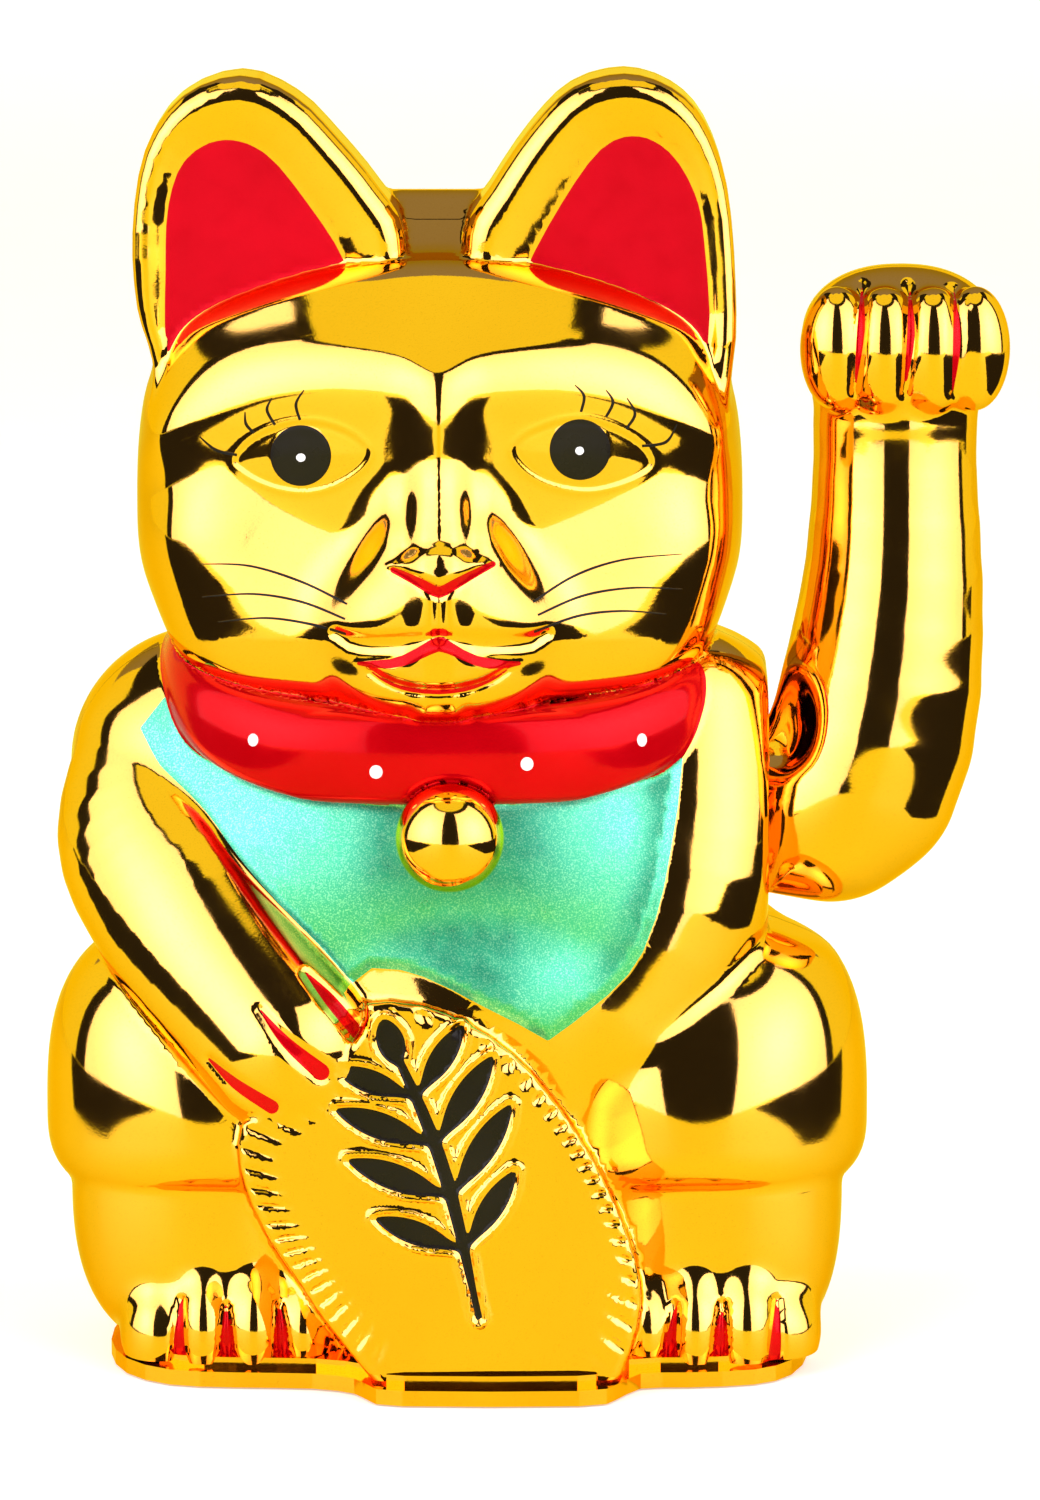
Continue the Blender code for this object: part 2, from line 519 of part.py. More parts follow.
# ---- the raised arm: two half shells --------------------------------------------------------
# each section: centre x, centre z, direction of its wide side (x, z), half width, half depth
SECTIONS = [
    ((46.5, 95.8), (46.5, 72.2), 11.8),
    ((49.8, 96.4), (51.5, 71.6), 12.0),
    ((51.2, 98.0), (60.0, 68.8), 12.6),
    ((51.8, 100.4), (71.0, 73.6), 13.0),
    ((52.8, 104.0), (79.2, 87.0), 12.8),
    ((53.8, 110.0), (82.3, 102.5), 12.2),
    ((55.5, 120.5), (82.5, 117.6), 11.6),
    ((56.8, 134.0), (81.5, 134.0), 11.0),
    ((56.7, 145.0), (81.6, 146.6), 10.8),
    ((55.2, 152.0), (83.4, 152.2), 12.0),
    ((54.8, 158.6), (85.0, 158.4), 12.8),
    ((57.6, 165.2), (82.0, 165.2), 10.6),
    ((63.2, 168.8), (76.4, 168.8), 6.0),
]


def arm_form(name, wall, seg):
    rings = []
    for (xa, za), (xb, zb), dy in SECTIONS:
        c = Vector(((xa + xb) / 2, 0, (za + zb) / 2))
        h = Vector(((xa - xb) / 2, 0, (za - zb) / 2))
        k = (h.length - wall) / h.length
        drop = Vector((0, 0, -wall if za > 160 else 0))
        rings.append([c + drop + h * k * math.cos(t) + Vector((0, (dy - wall) * math.sin(t), 0)) for t in (2 * math.pi * (i + 0.5) / seg for i in range(seg))])
    form = loft(name, rings, None, (69.8, 0, 169.8 - wall))
    return form


arm = arm_form("arm", 0.0, 24)
arm_room = arm_form("arm_room", ARM_WALL, 18)
arm_room = cut(arm_room, box("end_wall", 30, ARM_END_X + ARM_WALL, -30, 30, 60, 110))
arm = cut(arm, arm_room, rod("socket_hole", 40, 49, 5.3, (0, PIVOT_Z), "X", 20))
arm_rear = copy_of(arm, "arm_rear")
finish(keep(arm, box("fa", 0, 120, -60, -GAP, 40, 200)), "arm_front_half", "gold")
finish(keep(arm_rear, box("ra", 0, 120, GAP, 60, 40, 200)), "arm_rear_half", "gold")

# ---- power switch -------------------------------------------------------------------------
sw = box("power_switch_body", -29.4, -18.6, 7.4, 12.6, 4.3, 8.2)
sw = union(sw, *[box(f"leg{k}", -27.6 + 3.2 * k, -27.0 + 3.2 * k, 9.8, 10.2, 7.8, 11.0) for k in range(3)])
finish(sw, "power_switch_body", "steel")
knob = box("power_switch_knob", -27.2, -24.2, 9.0, 11.0, 0.5, 3.9)
finish(knob, "power_switch_knob", "black")

# ---- leads ----------------------------------------------------------------------------------
tube("battery_lead_red", flowing([(14.4, -12.0, 13.4), (15.6, -12.2, 15.2), (16.6, -16.0, 14.0), (19.5, -20.5, 11.2), (24.0, -21.5, 9.0)], 4), 0.55, "red", 2)
tube("battery_lead_black", flowing([(-42.6, -5.6, 14.2), (-42.4, -2.6, 14.0), (-38.0, 3.0, 11.0), (-32.0, 9.5, 10.5), (-28.6, 10.0, 11.8)], 4), 0.55, "blackwire", 2)
tube("switch_lead_black", flowing([(-21.6, 10.0, 12.0), (-18.0, 11.0, 12.4), (-6.0, 14.0, 7.2), (8.0, 17.0, 6.2), (17.0, 20.0, 8.4), (23.6, 20.4, 8.9)], 4), 0.55, "blackwire", 2)
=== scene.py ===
"""Looks of the beckoning cat figurine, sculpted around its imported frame.

The gold shells are an implicit sculpture: every form is a distance function in millimetres, smoothly
joined, meshed on a grid, and then drawn onto the exact surface. Paint borders are cut into the mesh
where a function of the surface crosses zero, so each colour is its own material with a crisp edge.
"""

import math
import time
from concurrent.futures import ThreadPoolExecutor

import bpy
import numpy as np
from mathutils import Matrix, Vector


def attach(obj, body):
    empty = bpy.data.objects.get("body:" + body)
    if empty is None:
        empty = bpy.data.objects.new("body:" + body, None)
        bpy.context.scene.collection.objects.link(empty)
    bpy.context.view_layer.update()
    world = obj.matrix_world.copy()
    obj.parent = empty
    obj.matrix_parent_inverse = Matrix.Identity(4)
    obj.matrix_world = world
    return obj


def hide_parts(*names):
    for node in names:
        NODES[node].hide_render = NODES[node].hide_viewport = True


T0 = time.time()
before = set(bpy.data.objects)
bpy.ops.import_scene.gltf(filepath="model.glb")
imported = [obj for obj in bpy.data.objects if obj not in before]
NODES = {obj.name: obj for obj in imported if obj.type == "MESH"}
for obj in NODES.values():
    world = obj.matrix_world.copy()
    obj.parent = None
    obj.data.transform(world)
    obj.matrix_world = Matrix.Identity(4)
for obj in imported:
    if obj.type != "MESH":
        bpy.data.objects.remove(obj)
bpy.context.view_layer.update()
F = np.float32

# ======================================================================================
# The drawing sheet: a perspective front view from 1.2 m away and 10 degrees up. Small
# features and paint are laid out on it, at 6.4 sheet units to the millimetre.
# ======================================================================================
UNIT, SHEET_X, SHEET_Y = 6.4, 520.0, 750.0
AIM_X, AIM_Z, AWAY, TILT = 10.94, 93.5, 1200.0, math.radians(10)
SE, CE = math.sin(TILT), math.cos(TILT)


def sheet(p):
    dz = p[:, 2] - AIM_Z
    k = AWAY / (AWAY + p[:, 1] * CE - dz * SE)
    return SHEET_X + UNIT * k * (p[:, 0] - AIM_X), SHEET_Y - UNIT * k * (p[:, 1] * SE + dz * CE)


EYE = np.array([AIM_X, -AWAY * CE, AIM_Z + AWAY * SE])


def sheet_ray(u, v):
    """Unit directions from the eye through sheet points."""
    right = np.array([1.0, 0, 0])
    up = np.array([0, SE, CE])
    fwd = np.array([0, CE, -SE])
    d = fwd[None] * AWAY + right[None] * ((np.asarray(u) - SHEET_X) / UNIT)[:, None] - up[None] * ((np.asarray(v) - SHEET_Y) / UNIT)[:, None]
    return d / np.linalg.norm(d, axis=1)[:, None]


# ---- distance functions ------------------------------------------------------------------
def ell(p, c, r):
    q = (p - np.array(c, F)) / np.array(r, F)
    k0 = np.sqrt((q * q).sum(1))
    k1 = np.sqrt(((q / np.array(r, F)) ** 2).sum(1))
    return k0 * (k0 - 1) / np.maximum(k1, 1e-6)


def sup(p, c, lo, hi, n):
    """A superellipsoid with different radii on its low and high sides."""
    q = p - np.array(c, F)
    r = np.where(q < 0, np.array(lo, F), np.array(hi, F))
    a = np.abs(q) / r + 1e-6
    s = (a ** n).sum(1)
    f = s ** (1.0 / n)
    g = s ** (1.0 / n - 1) * np.sqrt(((a ** (n - 1) / r) ** 2).sum(1))
    return (f - 1) / np.maximum(g, 1e-6)


def skull(p, c, lo, hi, a, m):
    """Like sup, with exponent a across the front view and m from front to back."""
    q = p - np.array(c, F)
    r = np.where(q < 0, np.array(lo, F), np.array(hi, F))
    w = np.abs(q) / r + 1e-5
    fa = w[:, 0] ** a + w[:, 2] ** a
    b = fa ** (m / a)
    s = b + w[:, 1] ** m
    k = fa ** (m / a - 1)
    g = s ** (1.0 / m - 1) * np.sqrt((k * w[:, 0] ** (a - 1) / r[:, 0]) ** 2 + (k * w[:, 2] ** (a - 1) / r[:, 2]) ** 2 + (w[:, 1] ** (m - 1) / r[:, 1]) ** 2)
    return (s ** (1.0 / m) - 1) / np.maximum(g, 1e-6)


def cone(p, a, b, ra, rb):
    """A round cone from a to b."""
    a, b = np.array(a, F), np.array(b, F)
    ba = b - a
    l2 = float(ba @ ba)
    rr = ra - rb
    a2 = l2 - rr * rr
    il2 = 1.0 / l2
    pa = p - a
    y = pa @ ba
    z = y - l2
    x2 = ((pa * l2 - y[:, None] * ba) ** 2).sum(1)
    y2, z2 = y * y * l2, z * z * l2
    k = np.sign(rr) * rr * rr * x2
    d1 = np.sqrt(x2 + z2) * il2 - rb
    d2 = np.sqrt(x2 + y2) * il2 - ra
    d3 = (np.sqrt(np.maximum(x2 * a2 * il2, 0)) + y * rr) * il2 - ra
    return np.where(np.sign(z) * a2 * z2 > k, d1, np.where(np.sign(y) * a2 * y2 < k, d2, d3))


def smin(a, b, k):
    h = np.maximum(k - np.abs(a - b), 0) / k
    return np.minimum(a, b) - h * h * k * 0.25


def smax(a, b, k):
    return -smin(-a, -b, k)


def step(a, b, x):
    t = np.clip((x - a) / (b - a), 0, 1)
    return t * t * (3 - 2 * t)


def seg(x, y, a, b):
    """Distance to a segment and the place along it, 0 to 1."""
    dx, dy = b[0] - a[0], b[1] - a[1]
    t = np.clip(((x - a[0]) * dx + (y - a[1]) * dy) / (dx * dx + dy * dy), 0, 1)
    return np.hypot(x - a[0] - t * dx, y - a[1] - t * dy), t


def stroke(x, y, pts, widths):
    """Signed distance to a painted stroke, negative inside, whose half width varies along its points."""
    out = None
    for i in range(len(pts) - 1):
        d, t = seg(x, y, pts[i], pts[i + 1])
        d = d - (widths[i] + (widths[i + 1] - widths[i]) * t)
        out = d if out is None else np.minimum(out, d)
    return out


def poly(x, y, pts):
    """Signed distance to a polygon, negative inside."""
    d = None
    inside = np.zeros(x.shape, bool)
    n = len(pts)
    for i in range(n):
        a, b = pts[i], pts[(i + 1) % n]
        e, _ = seg(x, y, a, b)
        d = e if d is None else np.minimum(d, e)
        if a[1] != b[1]:
            cross = ((a[1] > y) != (b[1] > y)) & (x < (b[0] - a[0]) * (y - a[1]) / (b[1] - a[1]) + a[0])
            inside ^= cross
    return np.where(inside, -d, d)


def curve(points, per=4, closed=False):
    """Catmull-Rom points through a drawn line."""
    p = [np.array(q, float) for q in points]
    n = len(p)
    out = []
    for i in range(n if closed else n - 1):
        g = (lambda k: p[k % n]) if closed else (lambda k: p[min(max(k, 0), n - 1)])
        a, b, c, d = g(i - 1), g(i), g(i + 1), g(i + 2)
        for s in range(per):
            t = s / per
            out.append(0.5 * (2 * b + (c - a) * t + (2 * a - 5 * b + 4 * c - d) * t * t + (3 * b - a - 3 * c + d) * t ** 3))
    if not closed:
        out.append(p[-1])
    return [tuple(q) for q in out]


def oval(x, y, cx, cy, rx, ry, turn=0.0):
    """Approximate signed distance to a turned ellipse."""
    c, s = math.cos(math.radians(turn)), math.sin(math.radians(turn))
    u, v = ((x - cx) * c + (y - cy) * s) / rx, (-(x - cx) * s + (y - cy) * c) / ry
    k0 = np.sqrt(u * u + v * v)
    k1 = np.sqrt((u / rx) ** 2 + (v / ry) ** 2)
    return k0 * (k0 - 1) / np.maximum(k1, 1e-6)


# ======================================================================================
# Drawn lines, on the sheet
# ======================================================================================
ALMOND_L = curve([(234, 461), (242, 447), (256, 436), (276, 427), (300, 422), (326, 424), (348, 432), (362, 442), (369, 452), (364, 464), (350, 476), (330, 486), (306, 491), (280, 488), (258, 480), (242, 470)], 3, True)
ALMOND_R = curve([(513, 450), (524, 436), (542, 427), (562, 421), (584, 419), (606, 424), (626, 433), (642, 444), (652, 458), (650, 468), (634, 478), (612, 486), (588, 490), (562, 487), (540, 479), (522, 466)], 3, True)
PUPILS = [(300.8, 455.6, 30.4), (580.0, 449.6, 30.4)]
DOTS = [(300.8, 457.6, 4.8, 4.2), (579.6, 450.8, 4.4, 4.2)]
NOSE = [(388, 566), (402, 555), (416, 548), (439, 543), (464, 548), (480, 555), (496, 565), (470, 580), (439, 592), (410, 580)]
NOSE_RED = curve([(393, 570), (412, 579), (427, 587), (439, 592.5), (452, 586), (470, 576), (493, 564)], 2)
NOSE_RED_W = [3.0, 3.6, 4.3, 4.9, 5.2, 5.4, 5.6, 5.4, 5.2, 4.9, 4.3, 3.6, 3.0]
MOUTH_TOP = [(357, 662), (374, 660.5), (390, 659), (403, 655), (416, 648.5), (428, 641), (434, 638), (439, 636.5), (445, 638), (452, 642.5), (464, 650), (478, 656), (494, 659), (507, 661), (521, 661.5)]
MOUTH_LOW = [(521, 665), (508, 668), (490, 669), (476, 666), (462, 660), (448, 654), (439, 651.5), (430, 655), (414, 662.5), (402, 666.5), (390, 668.5), (372, 668), (357, 665)]
MOUTH = MOUTH_TOP + MOUTH_LOW
LIP_LOW = curve([(371, 671), (380, 678), (394, 685), (412, 690), (439, 692), (464, 689.5), (482, 684), (497, 677), (508, 669)], 2)
LIP_LOW_W = [0.6, 0.9, 1.2, 1.5, 1.8, 2.0, 2.2, 2.3, 2.4, 2.3, 2.2, 2.0, 1.8, 1.5, 1.2, 0.9, 0.6]
SMILE = curve([(336, 633), (352, 640), (372, 643), (398, 642), (420, 640), (439, 637), (458, 640), (484, 642), (508, 642), (530, 640), (547, 633)], 2)
CHEST_RED_DOTS = [(253, 740, 5.2, 6.4), (376, 772, 6.6, 6.8), (527, 764, 6.4, 6.8), (642, 740, 4.9, 6.6)]
BIB = [(140, 728), (152, 752), (166, 776), (203, 824), (242, 870), (281, 916), (310, 950), (330, 972), (350, 985), (372, 968), (401, 970), (424, 977), (452, 990), (484, 1007), (518, 1024), (548, 1041), (573, 1023), (607, 996), (628, 975), (643, 952), (656, 918), (664, 888), (671, 850), (678, 807), (684, 746), (700, 700), (400, 640), (170, 690)]
EAR_RED_L = [(167, 336), (165, 300), (167, 225), (171, 190), (180, 165), (192, 148), (206, 139), (222, 136), (242, 140), (258, 150), (274, 166), (292, 186), (310, 207), (328, 231), (340, 250), (348, 264), (330, 300), (200, 360)]
EAR_RED_R = [(519, 268), (524, 254), (536, 232), (552, 205), (572, 178), (590, 158), (606, 144), (622, 135), (640, 132), (654, 135), (668, 146), (680, 164), (690, 190), (698, 225), (703, 270), (706, 338), (690, 360), (560, 320)]
COIN = curve([(366, 1003), (390, 1001), (421, 1005), (446, 1013), (466, 1022), (490, 1036), (511, 1052), (530, 1070), (546, 1090), (562, 1110), (577, 1132), (592, 1156), (605, 1181), (617, 1206), (627, 1232), (635, 1256), (640, 1280), (641, 1306), (637, 1330), (630, 1352), (620, 1376), (600, 1400), (520, 1404), (420, 1404), (384, 1392), (364, 1370), (345, 1346), (330, 1328), (316, 1310), (297, 1281), (284, 1262), (272, 1244), (262, 1226), (252, 1206), (245, 1186), (240, 1168), (238, 1146), (242, 1124), (262, 1113), (282, 1104), (304, 1089), (326, 1072), (346, 1053), (360, 1034), (366, 1018)], 1, True)
# claw grooves: start, end, half widths at start and end
ARM_CLAWS = [((306, 973), (330, 1000), (360, 1036)), ((260, 1010), (286, 1042), (321, 1072)), ((209, 1059), (236, 1084), (272, 1107))]
ARM_CLAW_W = [(1.2, 6.0, 6.6), (1.2, 5.4, 8.6), (1.2, 5.2, 6.8)]
FOOT_CLAWS = [((182, 1300), (179, 1338), (181, 1371)), ((226, 1306), (226, 1340), (228, 1372)), ((279, 1305), (282, 1338), (286, 1372)), ((676, 1306), (671, 1340), (666, 1373)), ((722, 1304), (720, 1340), (717, 1373)), ((777, 1300), (776, 1338), (773, 1368))]
FOOT_CLAW_W = (1.4, 5.2, 6.4)
PAW_CLAWS = [((862, 284), (861, 330), (854.5, 391)), ((909, 284), (911, 335), (904, 393)), ((954, 290), (957, 340), (952.5, 393))]
PAW_CLAW_W = (0.5, 4.0, 0.6)


def wide(pts, widths, per=4):
    """A smooth stroke: its points and half widths."""
    c = curve(pts, per)
    w = [p[0] for p in curve([(a, 0) for a in widths], per)]
    return c, w


SPRIG_A, SPRIG_B = np.array([392.0, 1046.0]), np.array([484.0, 1316.0])


def sprig_marks():
    """A leaf sprig: a curved stem, pairs of leaves and a bud, as (kind, data) shapes on the sheet."""
    ax = (SPRIG_B - SPRIG_A) / np.linalg.norm(SPRIG_B - SPRIG_A)
    nx = np.array([ax[1], -ax[0]])
    stem = []
    for i in range(13):
        t = i / 12
        stem.append(tuple(SPRIG_A + (SPRIG_B - SPRIG_A) * t + nx * 9 * math.sin(2.4 * math.pi * t * 0.5)))
    marks = [("stem", stem, [3.5 + 3.5 * math.sin(math.pi * min(1, i / 11)) for i in range(13)])]
    for k, (t, length) in enumerate(((0.2, 40), (0.38, 50), (0.57, 52), (0.76, 44))):
        root = SPRIG_A + (SPRIG_B - SPRIG_A) * t + nx * 9 * math.sin(2.4 * math.pi * t * 0.5)
        for side in (-1, 1):
            way = -ax * 0.62 + nx * side * 0.78
            way = way / np.linalg.norm(way)
            c = root + way * (length + 9)
            marks.append(("leaf", tuple(c), (length, 13.5 if k in (1, 2) else 12.0), math.degrees(math.atan2(way[1], way[0])), tuple(root)))
    tip = SPRIG_A - ax * 4
    marks.append(("leaf", tuple(tip), (26, 14), math.degrees(math.atan2(ax[1], ax[0])), None))
    return marks


SPRIG = sprig_marks()


def leaf(x, y, c, r, turn):
    """Two arcs that meet in points."""
    cs, sn = math.cos(math.radians(turn)), math.sin(math.radians(turn))
    u, v = (x - c[0]) * cs + (y - c[1]) * sn, -(x - c[0]) * sn + (y - c[1]) * cs
    a, b = r
    big = (a * a + b * b) / (2 * b)
    d = np.hypot(u, np.abs(v) + big - b) - big
    return smax(d, np.abs(u) - a * 0.96, 4.0)


def sprig(x, y):
    out = None
    for m in SPRIG:
        if m[0] == "stem":
            d = stroke(x, y, m[1], m[2])
        else:
            d = leaf(x, y, m[1], m[2], m[3])
            if m[4]:
                s, _ = seg(x, y, m[4], m[1])
                d = smin(d, s - 3.4, 5.0)
        out = d if out is None else smin(out, d, 3.0)
    return out


class Map:
    """A drawn function, worked out once on a grid and then read off by interpolation."""

    def __init__(self, fn, x, y, pitch, soften=0):
        nx, ny = int(round((x[1] - x[0]) / pitch)) + 1, int(round((y[1] - y[0]) / pitch)) + 1
        gx, gy = np.meshgrid(x[0] + pitch * np.arange(nx, dtype=F), y[0] + pitch * np.arange(ny, dtype=F), indexing="ij")
        a = fn(gx.ravel(), gy.ravel()).reshape(nx, ny).astype(F)
        for _ in range(soften):
            a = np.pad(a, 1, mode="edge")
            a = (a[:-2] + 2 * a[1:-1] + a[2:]) / 4
            a = (a[:, :-2] + 2 * a[:, 1:-1] + a[:, 2:]) / 4
        self.a, self.x, self.y, self.pitch, self.nx, self.ny = a.ravel(), x[0], y[0], pitch, nx, ny

    def __call__(self, x, y):
        fx = np.clip((x - self.x) / self.pitch, 0, self.nx - 1.001)
        fy = np.clip((y - self.y) / self.pitch, 0, self.ny - 1.001)
        i, j = fx.astype(np.int32), fy.astype(np.int32)
        fx -= i
        fy -= j
        k = i * self.ny + j
        a, n = self.a, self.ny
        return (a[k] * (1 - fy) + a[k + 1] * fy) * (1 - fx) + (a[k + n] * (1 - fy) + a[k + n + 1] * fy) * fx


def where(p, mask, fn, far=40.0):
    """fn(p) where mask holds, and a long way off elsewhere."""
    out = np.full(len(p), far, F)
    if mask.any():
        out[mask] = fn(p[mask])
    return out


# ======================================================================================
# The sculpture
# ======================================================================================
def ears(p):
    x, y, z = p[:, 0], p[:, 1], p[:, 2]
    d2 = EAR_OUT(x, z)
    # the wall draws in a little towards the rear
    d2b = d2 + np.maximum(y - 2, 0) * 0.10
    r = 4.2
    qx, qy = d2b + r, np.abs(y + 0.2) - 14.3 + r
    e = np.minimum(np.maximum(qx, qy), 0) + np.hypot(np.maximum(qx, 0), np.maximum(qy, 0)) - r
    # the recessed face, with a soft foot
    i2 = EAR_IN(x, z)
    hollow = smax((i2 + (y + 11.6) * 1.7) * 0.507, y + 11.6, 0.5)
    return smax(e, -hollow, 2.0)


EAR_OUT_L = curve([(-43.6, 140.0), (-45.4, 155.5), (-47.8, 164.2), (-48.4, 176.0), (-46.4, 188.3), (-40.8, 196.6), (-31.6, 199.9), (-23.2, 196.6), (-16.8, 190.3), (-10.6, 182.7), (-6.6, 175.4), (-8.0, 160.0), (-20.0, 145.0)], 3, True)
EAR_OUT_R = curve([(39.0, 140.0), (43.6, 155.0), (44.0, 168.0), (42.6, 183.0), (39.2, 192.8), (34.2, 198.0), (26.9, 200.2), (18.8, 198.0), (12.4, 191.7), (6.3, 182.7), (2.4, 175.4), (4.0, 160.0), (16.0, 145.0)], 3, True)
EAR_IN_L = curve([(-43.1, 157.0), (-43.4, 170.0), (-42.9, 180.0), (-40.3, 187.0), (-34.6, 190.2), (-28.0, 188.2), (-21.4, 180.4), (-15.6, 171.0), (-13.0, 160.0), (-20.0, 148.0), (-38.0, 148.0)], 3, True)
EAR_IN_R = curve([(11.4, 169.4), (17.2, 180.4), (23.2, 188.7), (28.7, 190.8), (33.9, 188.2), (37.7, 182.0), (39.2, 174.6), (39.8, 158.0), (34.0, 148.0), (16.0, 148.0), (9.0, 160.0)], 3, True)


EAR_OUT = Map(lambda x, z: np.minimum(poly(x, z, EAR_OUT_L), poly(x, z, EAR_OUT_R)), (-62, 58), (128, 208), 0.25)
EAR_IN = Map(lambda x, z: np.minimum(poly(x, z, EAR_IN_L), poly(x, z, EAR_IN_R)), (-62, 58), (128, 208), 0.25)


def face_relief(u, v):
    """Height above the plain head, millimetres, over the sheet."""
    h = np.zeros_like(u)
    # the channel each side of the nose bridge, inside a crisp ridge, and the bridge itself
    off = np.abs(u - 438.5)
    deep = np.interp(v, [352, 376, 400, 440, 480, 520, 548, 570], [0, 0, 0.1, 0.2, 0.5, 0.8, 0.8, 0]).astype(F)
    rise = np.interp(v, [400, 440, 480, 520, 545, 560], [0, 0.1, 0.4, 0.9, 1.2, 1.0]).astype(F)
    edge = np.interp(v, [352, 380, 420, 470, 540, 570], [44, 49, 52, 53, 53, 48]).astype(F)
    wall = 1 - step(edge - 24, edge, off)
    h -= deep * wall
    h += rise * (1 - step(13, 37, off))
    # the nose: a bulged lozenge
    d = poly(u, v, NOSE)
    h += 1.2 * (1 - step(-14, 5, d))
    # red line under the nose sits in a fine step
    s = stroke(u, v, NOSE_RED, NOSE_RED_W)
    h -= 0.3 * (1 - step(-2, 3, s))
    # philtrum
    s, t = seg(u, v, (439, 596), (439, 638))
    h -= 0.55 * (1 - step(0, 9, s))
    # mouth: a slot under the upper lip, then the lower lip standing out of it
    s = stroke(u, v, SMILE, [1.5, 3, 5, 5.5, 5.5, 5.5, 5.5, 5.0, 4.5, 4, 3.5, 4, 4.5, 5, 5.5, 5.5, 5.5, 5.5, 5, 3, 1.5])
    h -= 0.75 * (1 - step(-4, 9, s))
    lip = MOUTH_TOP + [(508, 670), (497, 677), (482, 684), (464, 689.5), (439, 692), (412, 690), (394, 685), (380, 678), (371, 671)]
    d = poly(u, v, lip)
    h += 0.8 * (1 - step(-14, 4, d))
    s = stroke(u, v, LIP_LOW, LIP_LOW_W)
    h -= 0.45 * (1 - step(-1, 7, s))
    # eyelids: a fine line round each almond, and an eyeball that swells a little
    for line, (px, py, pr) in ((ALMOND_L, PUPILS[0]), (ALMOND_R, PUPILS[1])):
        d = poly(u, v, line)
        h += 0.11 * np.exp(-((d - 2.0) / 3.6) ** 2)
        h -= 0.07 * np.exp(-((d + 3.0) / 3.0) ** 2)
        h += 0.22 * (1 - step(-34, -3, d))
        o = np.hypot(u - px, v - py) - pr
        h += 0.07 * (1 - step(-1.6, 0.8, o))
    return h


FACE = Map(face_relief, (180, 700), (330, 720), 1.0, 2)


SOCKET_L = curve([(186, 440), (208, 452), (231, 466), (250, 484), (276, 505), (306, 522), (340, 537), (370, 545), (390, 543)], 3) + [(398, 340), (186, 340)]
SOCKET_R = curve([(488, 541), (506, 543), (537, 532), (587, 511), (625, 492), (650, 475), (672, 454), (694, 440)], 3) + [(694, 340), (478, 340)]
SOCKET_MAP = Map(lambda u, v: np.minimum(poly(u, v, SOCKET_L), poly(u, v, SOCKET_R)), (170, 710), (320, 640), 1.0, 2)


def head(p):
    d = skull(p, (-1.5, 0, 132), (47, 37.6, 29.0), (47, 33, 48.0), 2.65, 2.08)
    # the forehead slopes back from the brow
    x, y, z = p[:, 0] + 1.6, p[:, 1], p[:, 2]
    slope = 0.695 * (-y - 29.6 + 0.0080 * x * x) + 0.719 * (z - 162.0 + 0.0010 * x * x) + 0.004 * (z - 162.0) ** 2
    d = smax(d, (0.96 * slope).astype(F), 5.0)
    # the crown: an edge in front, rounded behind
    top = (z - (171.6 - 0.0066 * x * x + 0.10 * np.clip(y + 19, -30, 12))) * 0.98
    k = 2.0 + 16 * step(-12, 8, y)
    d = smax(d, top.astype(F), k.astype(F))
    # the muzzle and jaw: one wide round form
    d = smin(d, sup(p, (-1.2, -10.5, 129.5), (42.5, 27.8, 26.6), (42.5, 27.8, 13.0), 2.12), 6)
    # the full jaw, down to the collar
    d = smin(d, sup(p, (-1.2, -8, 115.4), (41.0, 25.2, 14.2), (41.0, 25.2, 13), 2.35), 6)
    # the brow: one wide roll across the head, lower at its ends
    q = p.copy()
    q[:, 2] += 0.0042 * x * x
    d = smin(d, sup(q, (-1.5, -13, 153.4), (42.5, 22.8, 9.4), (42.5, 22.8, 9.4), 2.15), 6)
    # the bridge of the nose, a ridge from the brow down
    d = smin(d, cone(p, (-1.4, -27.2, 148), (-1.4, -29.8, 131), 9.6, 7.4), 5)
    # eye sockets: flats that lean back from the brow, with a soft valley round their lower edge
    near = (p[:, 1] < -12) & (p[:, 2] > 104) & (p[:, 2] < 162) & (np.abs(d) < 12)
    if near.any():
        q = p[near]
        u, v = sheet(q)
        turn = math.radians(17.5)
        side = np.sqrt((q[:, 0] + 1.4) ** 2 + 10.0)
        flat = (side - 20.6) * math.sin(turn) * 0.992 - (q[:, 1] + 30.2) * math.cos(turn) * 0.992 - (q[:, 2] - 154.2) * 0.122
        out = SOCKET_MAP(u, v) / UNIT
        soft = 0.5 * (out + np.sqrt(out * out + 5.0))
        lean = 0.315 + 0.325 * np.exp(-((u - 438.5) / 58) ** 2)
        d[near] = smax(d[near], (flat - lean * soft + 0.2).astype(F), 4.8)
    # whisker pads and chin
    d = smin(d, ell(p, (-6.8, -30.6, 119.5), (10.0, 9.4, 7.6)), 8)
    d = smin(d, ell(p, (4.6, -30.6, 119.5), (10.0, 9.4, 7.6)), 8)
    d = smin(d, ell(p, (-1.2, -28.0, 110.5), (15.0, 10.6, 7.4)), 5)
    # the nose carries forward
    return smin(d, ell(p, (-1.2, -34.0, 129.0), (8.0, 6.4, 7.5)), 9)


def saddle(p):
    """The sloping top of the head between the ears."""
    x, y, z = p[:, 0], p[:, 1], p[:, 2]
    a = (z - 176.7) * 0.878 - y * 0.478          # the facet that rises to the rear
    b = (z - 182.0) * 0.80 + (y - 9.5) * 0.60    # and falls away behind
    c = -(y + 10.6)
    e = np.abs(x + 2.3) - 15
    d = smax(a, b, 5.0)
    d = smax(d, c, 0.8)
    d = smax(d, e, 0.5)
    d = np.maximum(d, 150 - z)
    return np.maximum(d, y - 26)


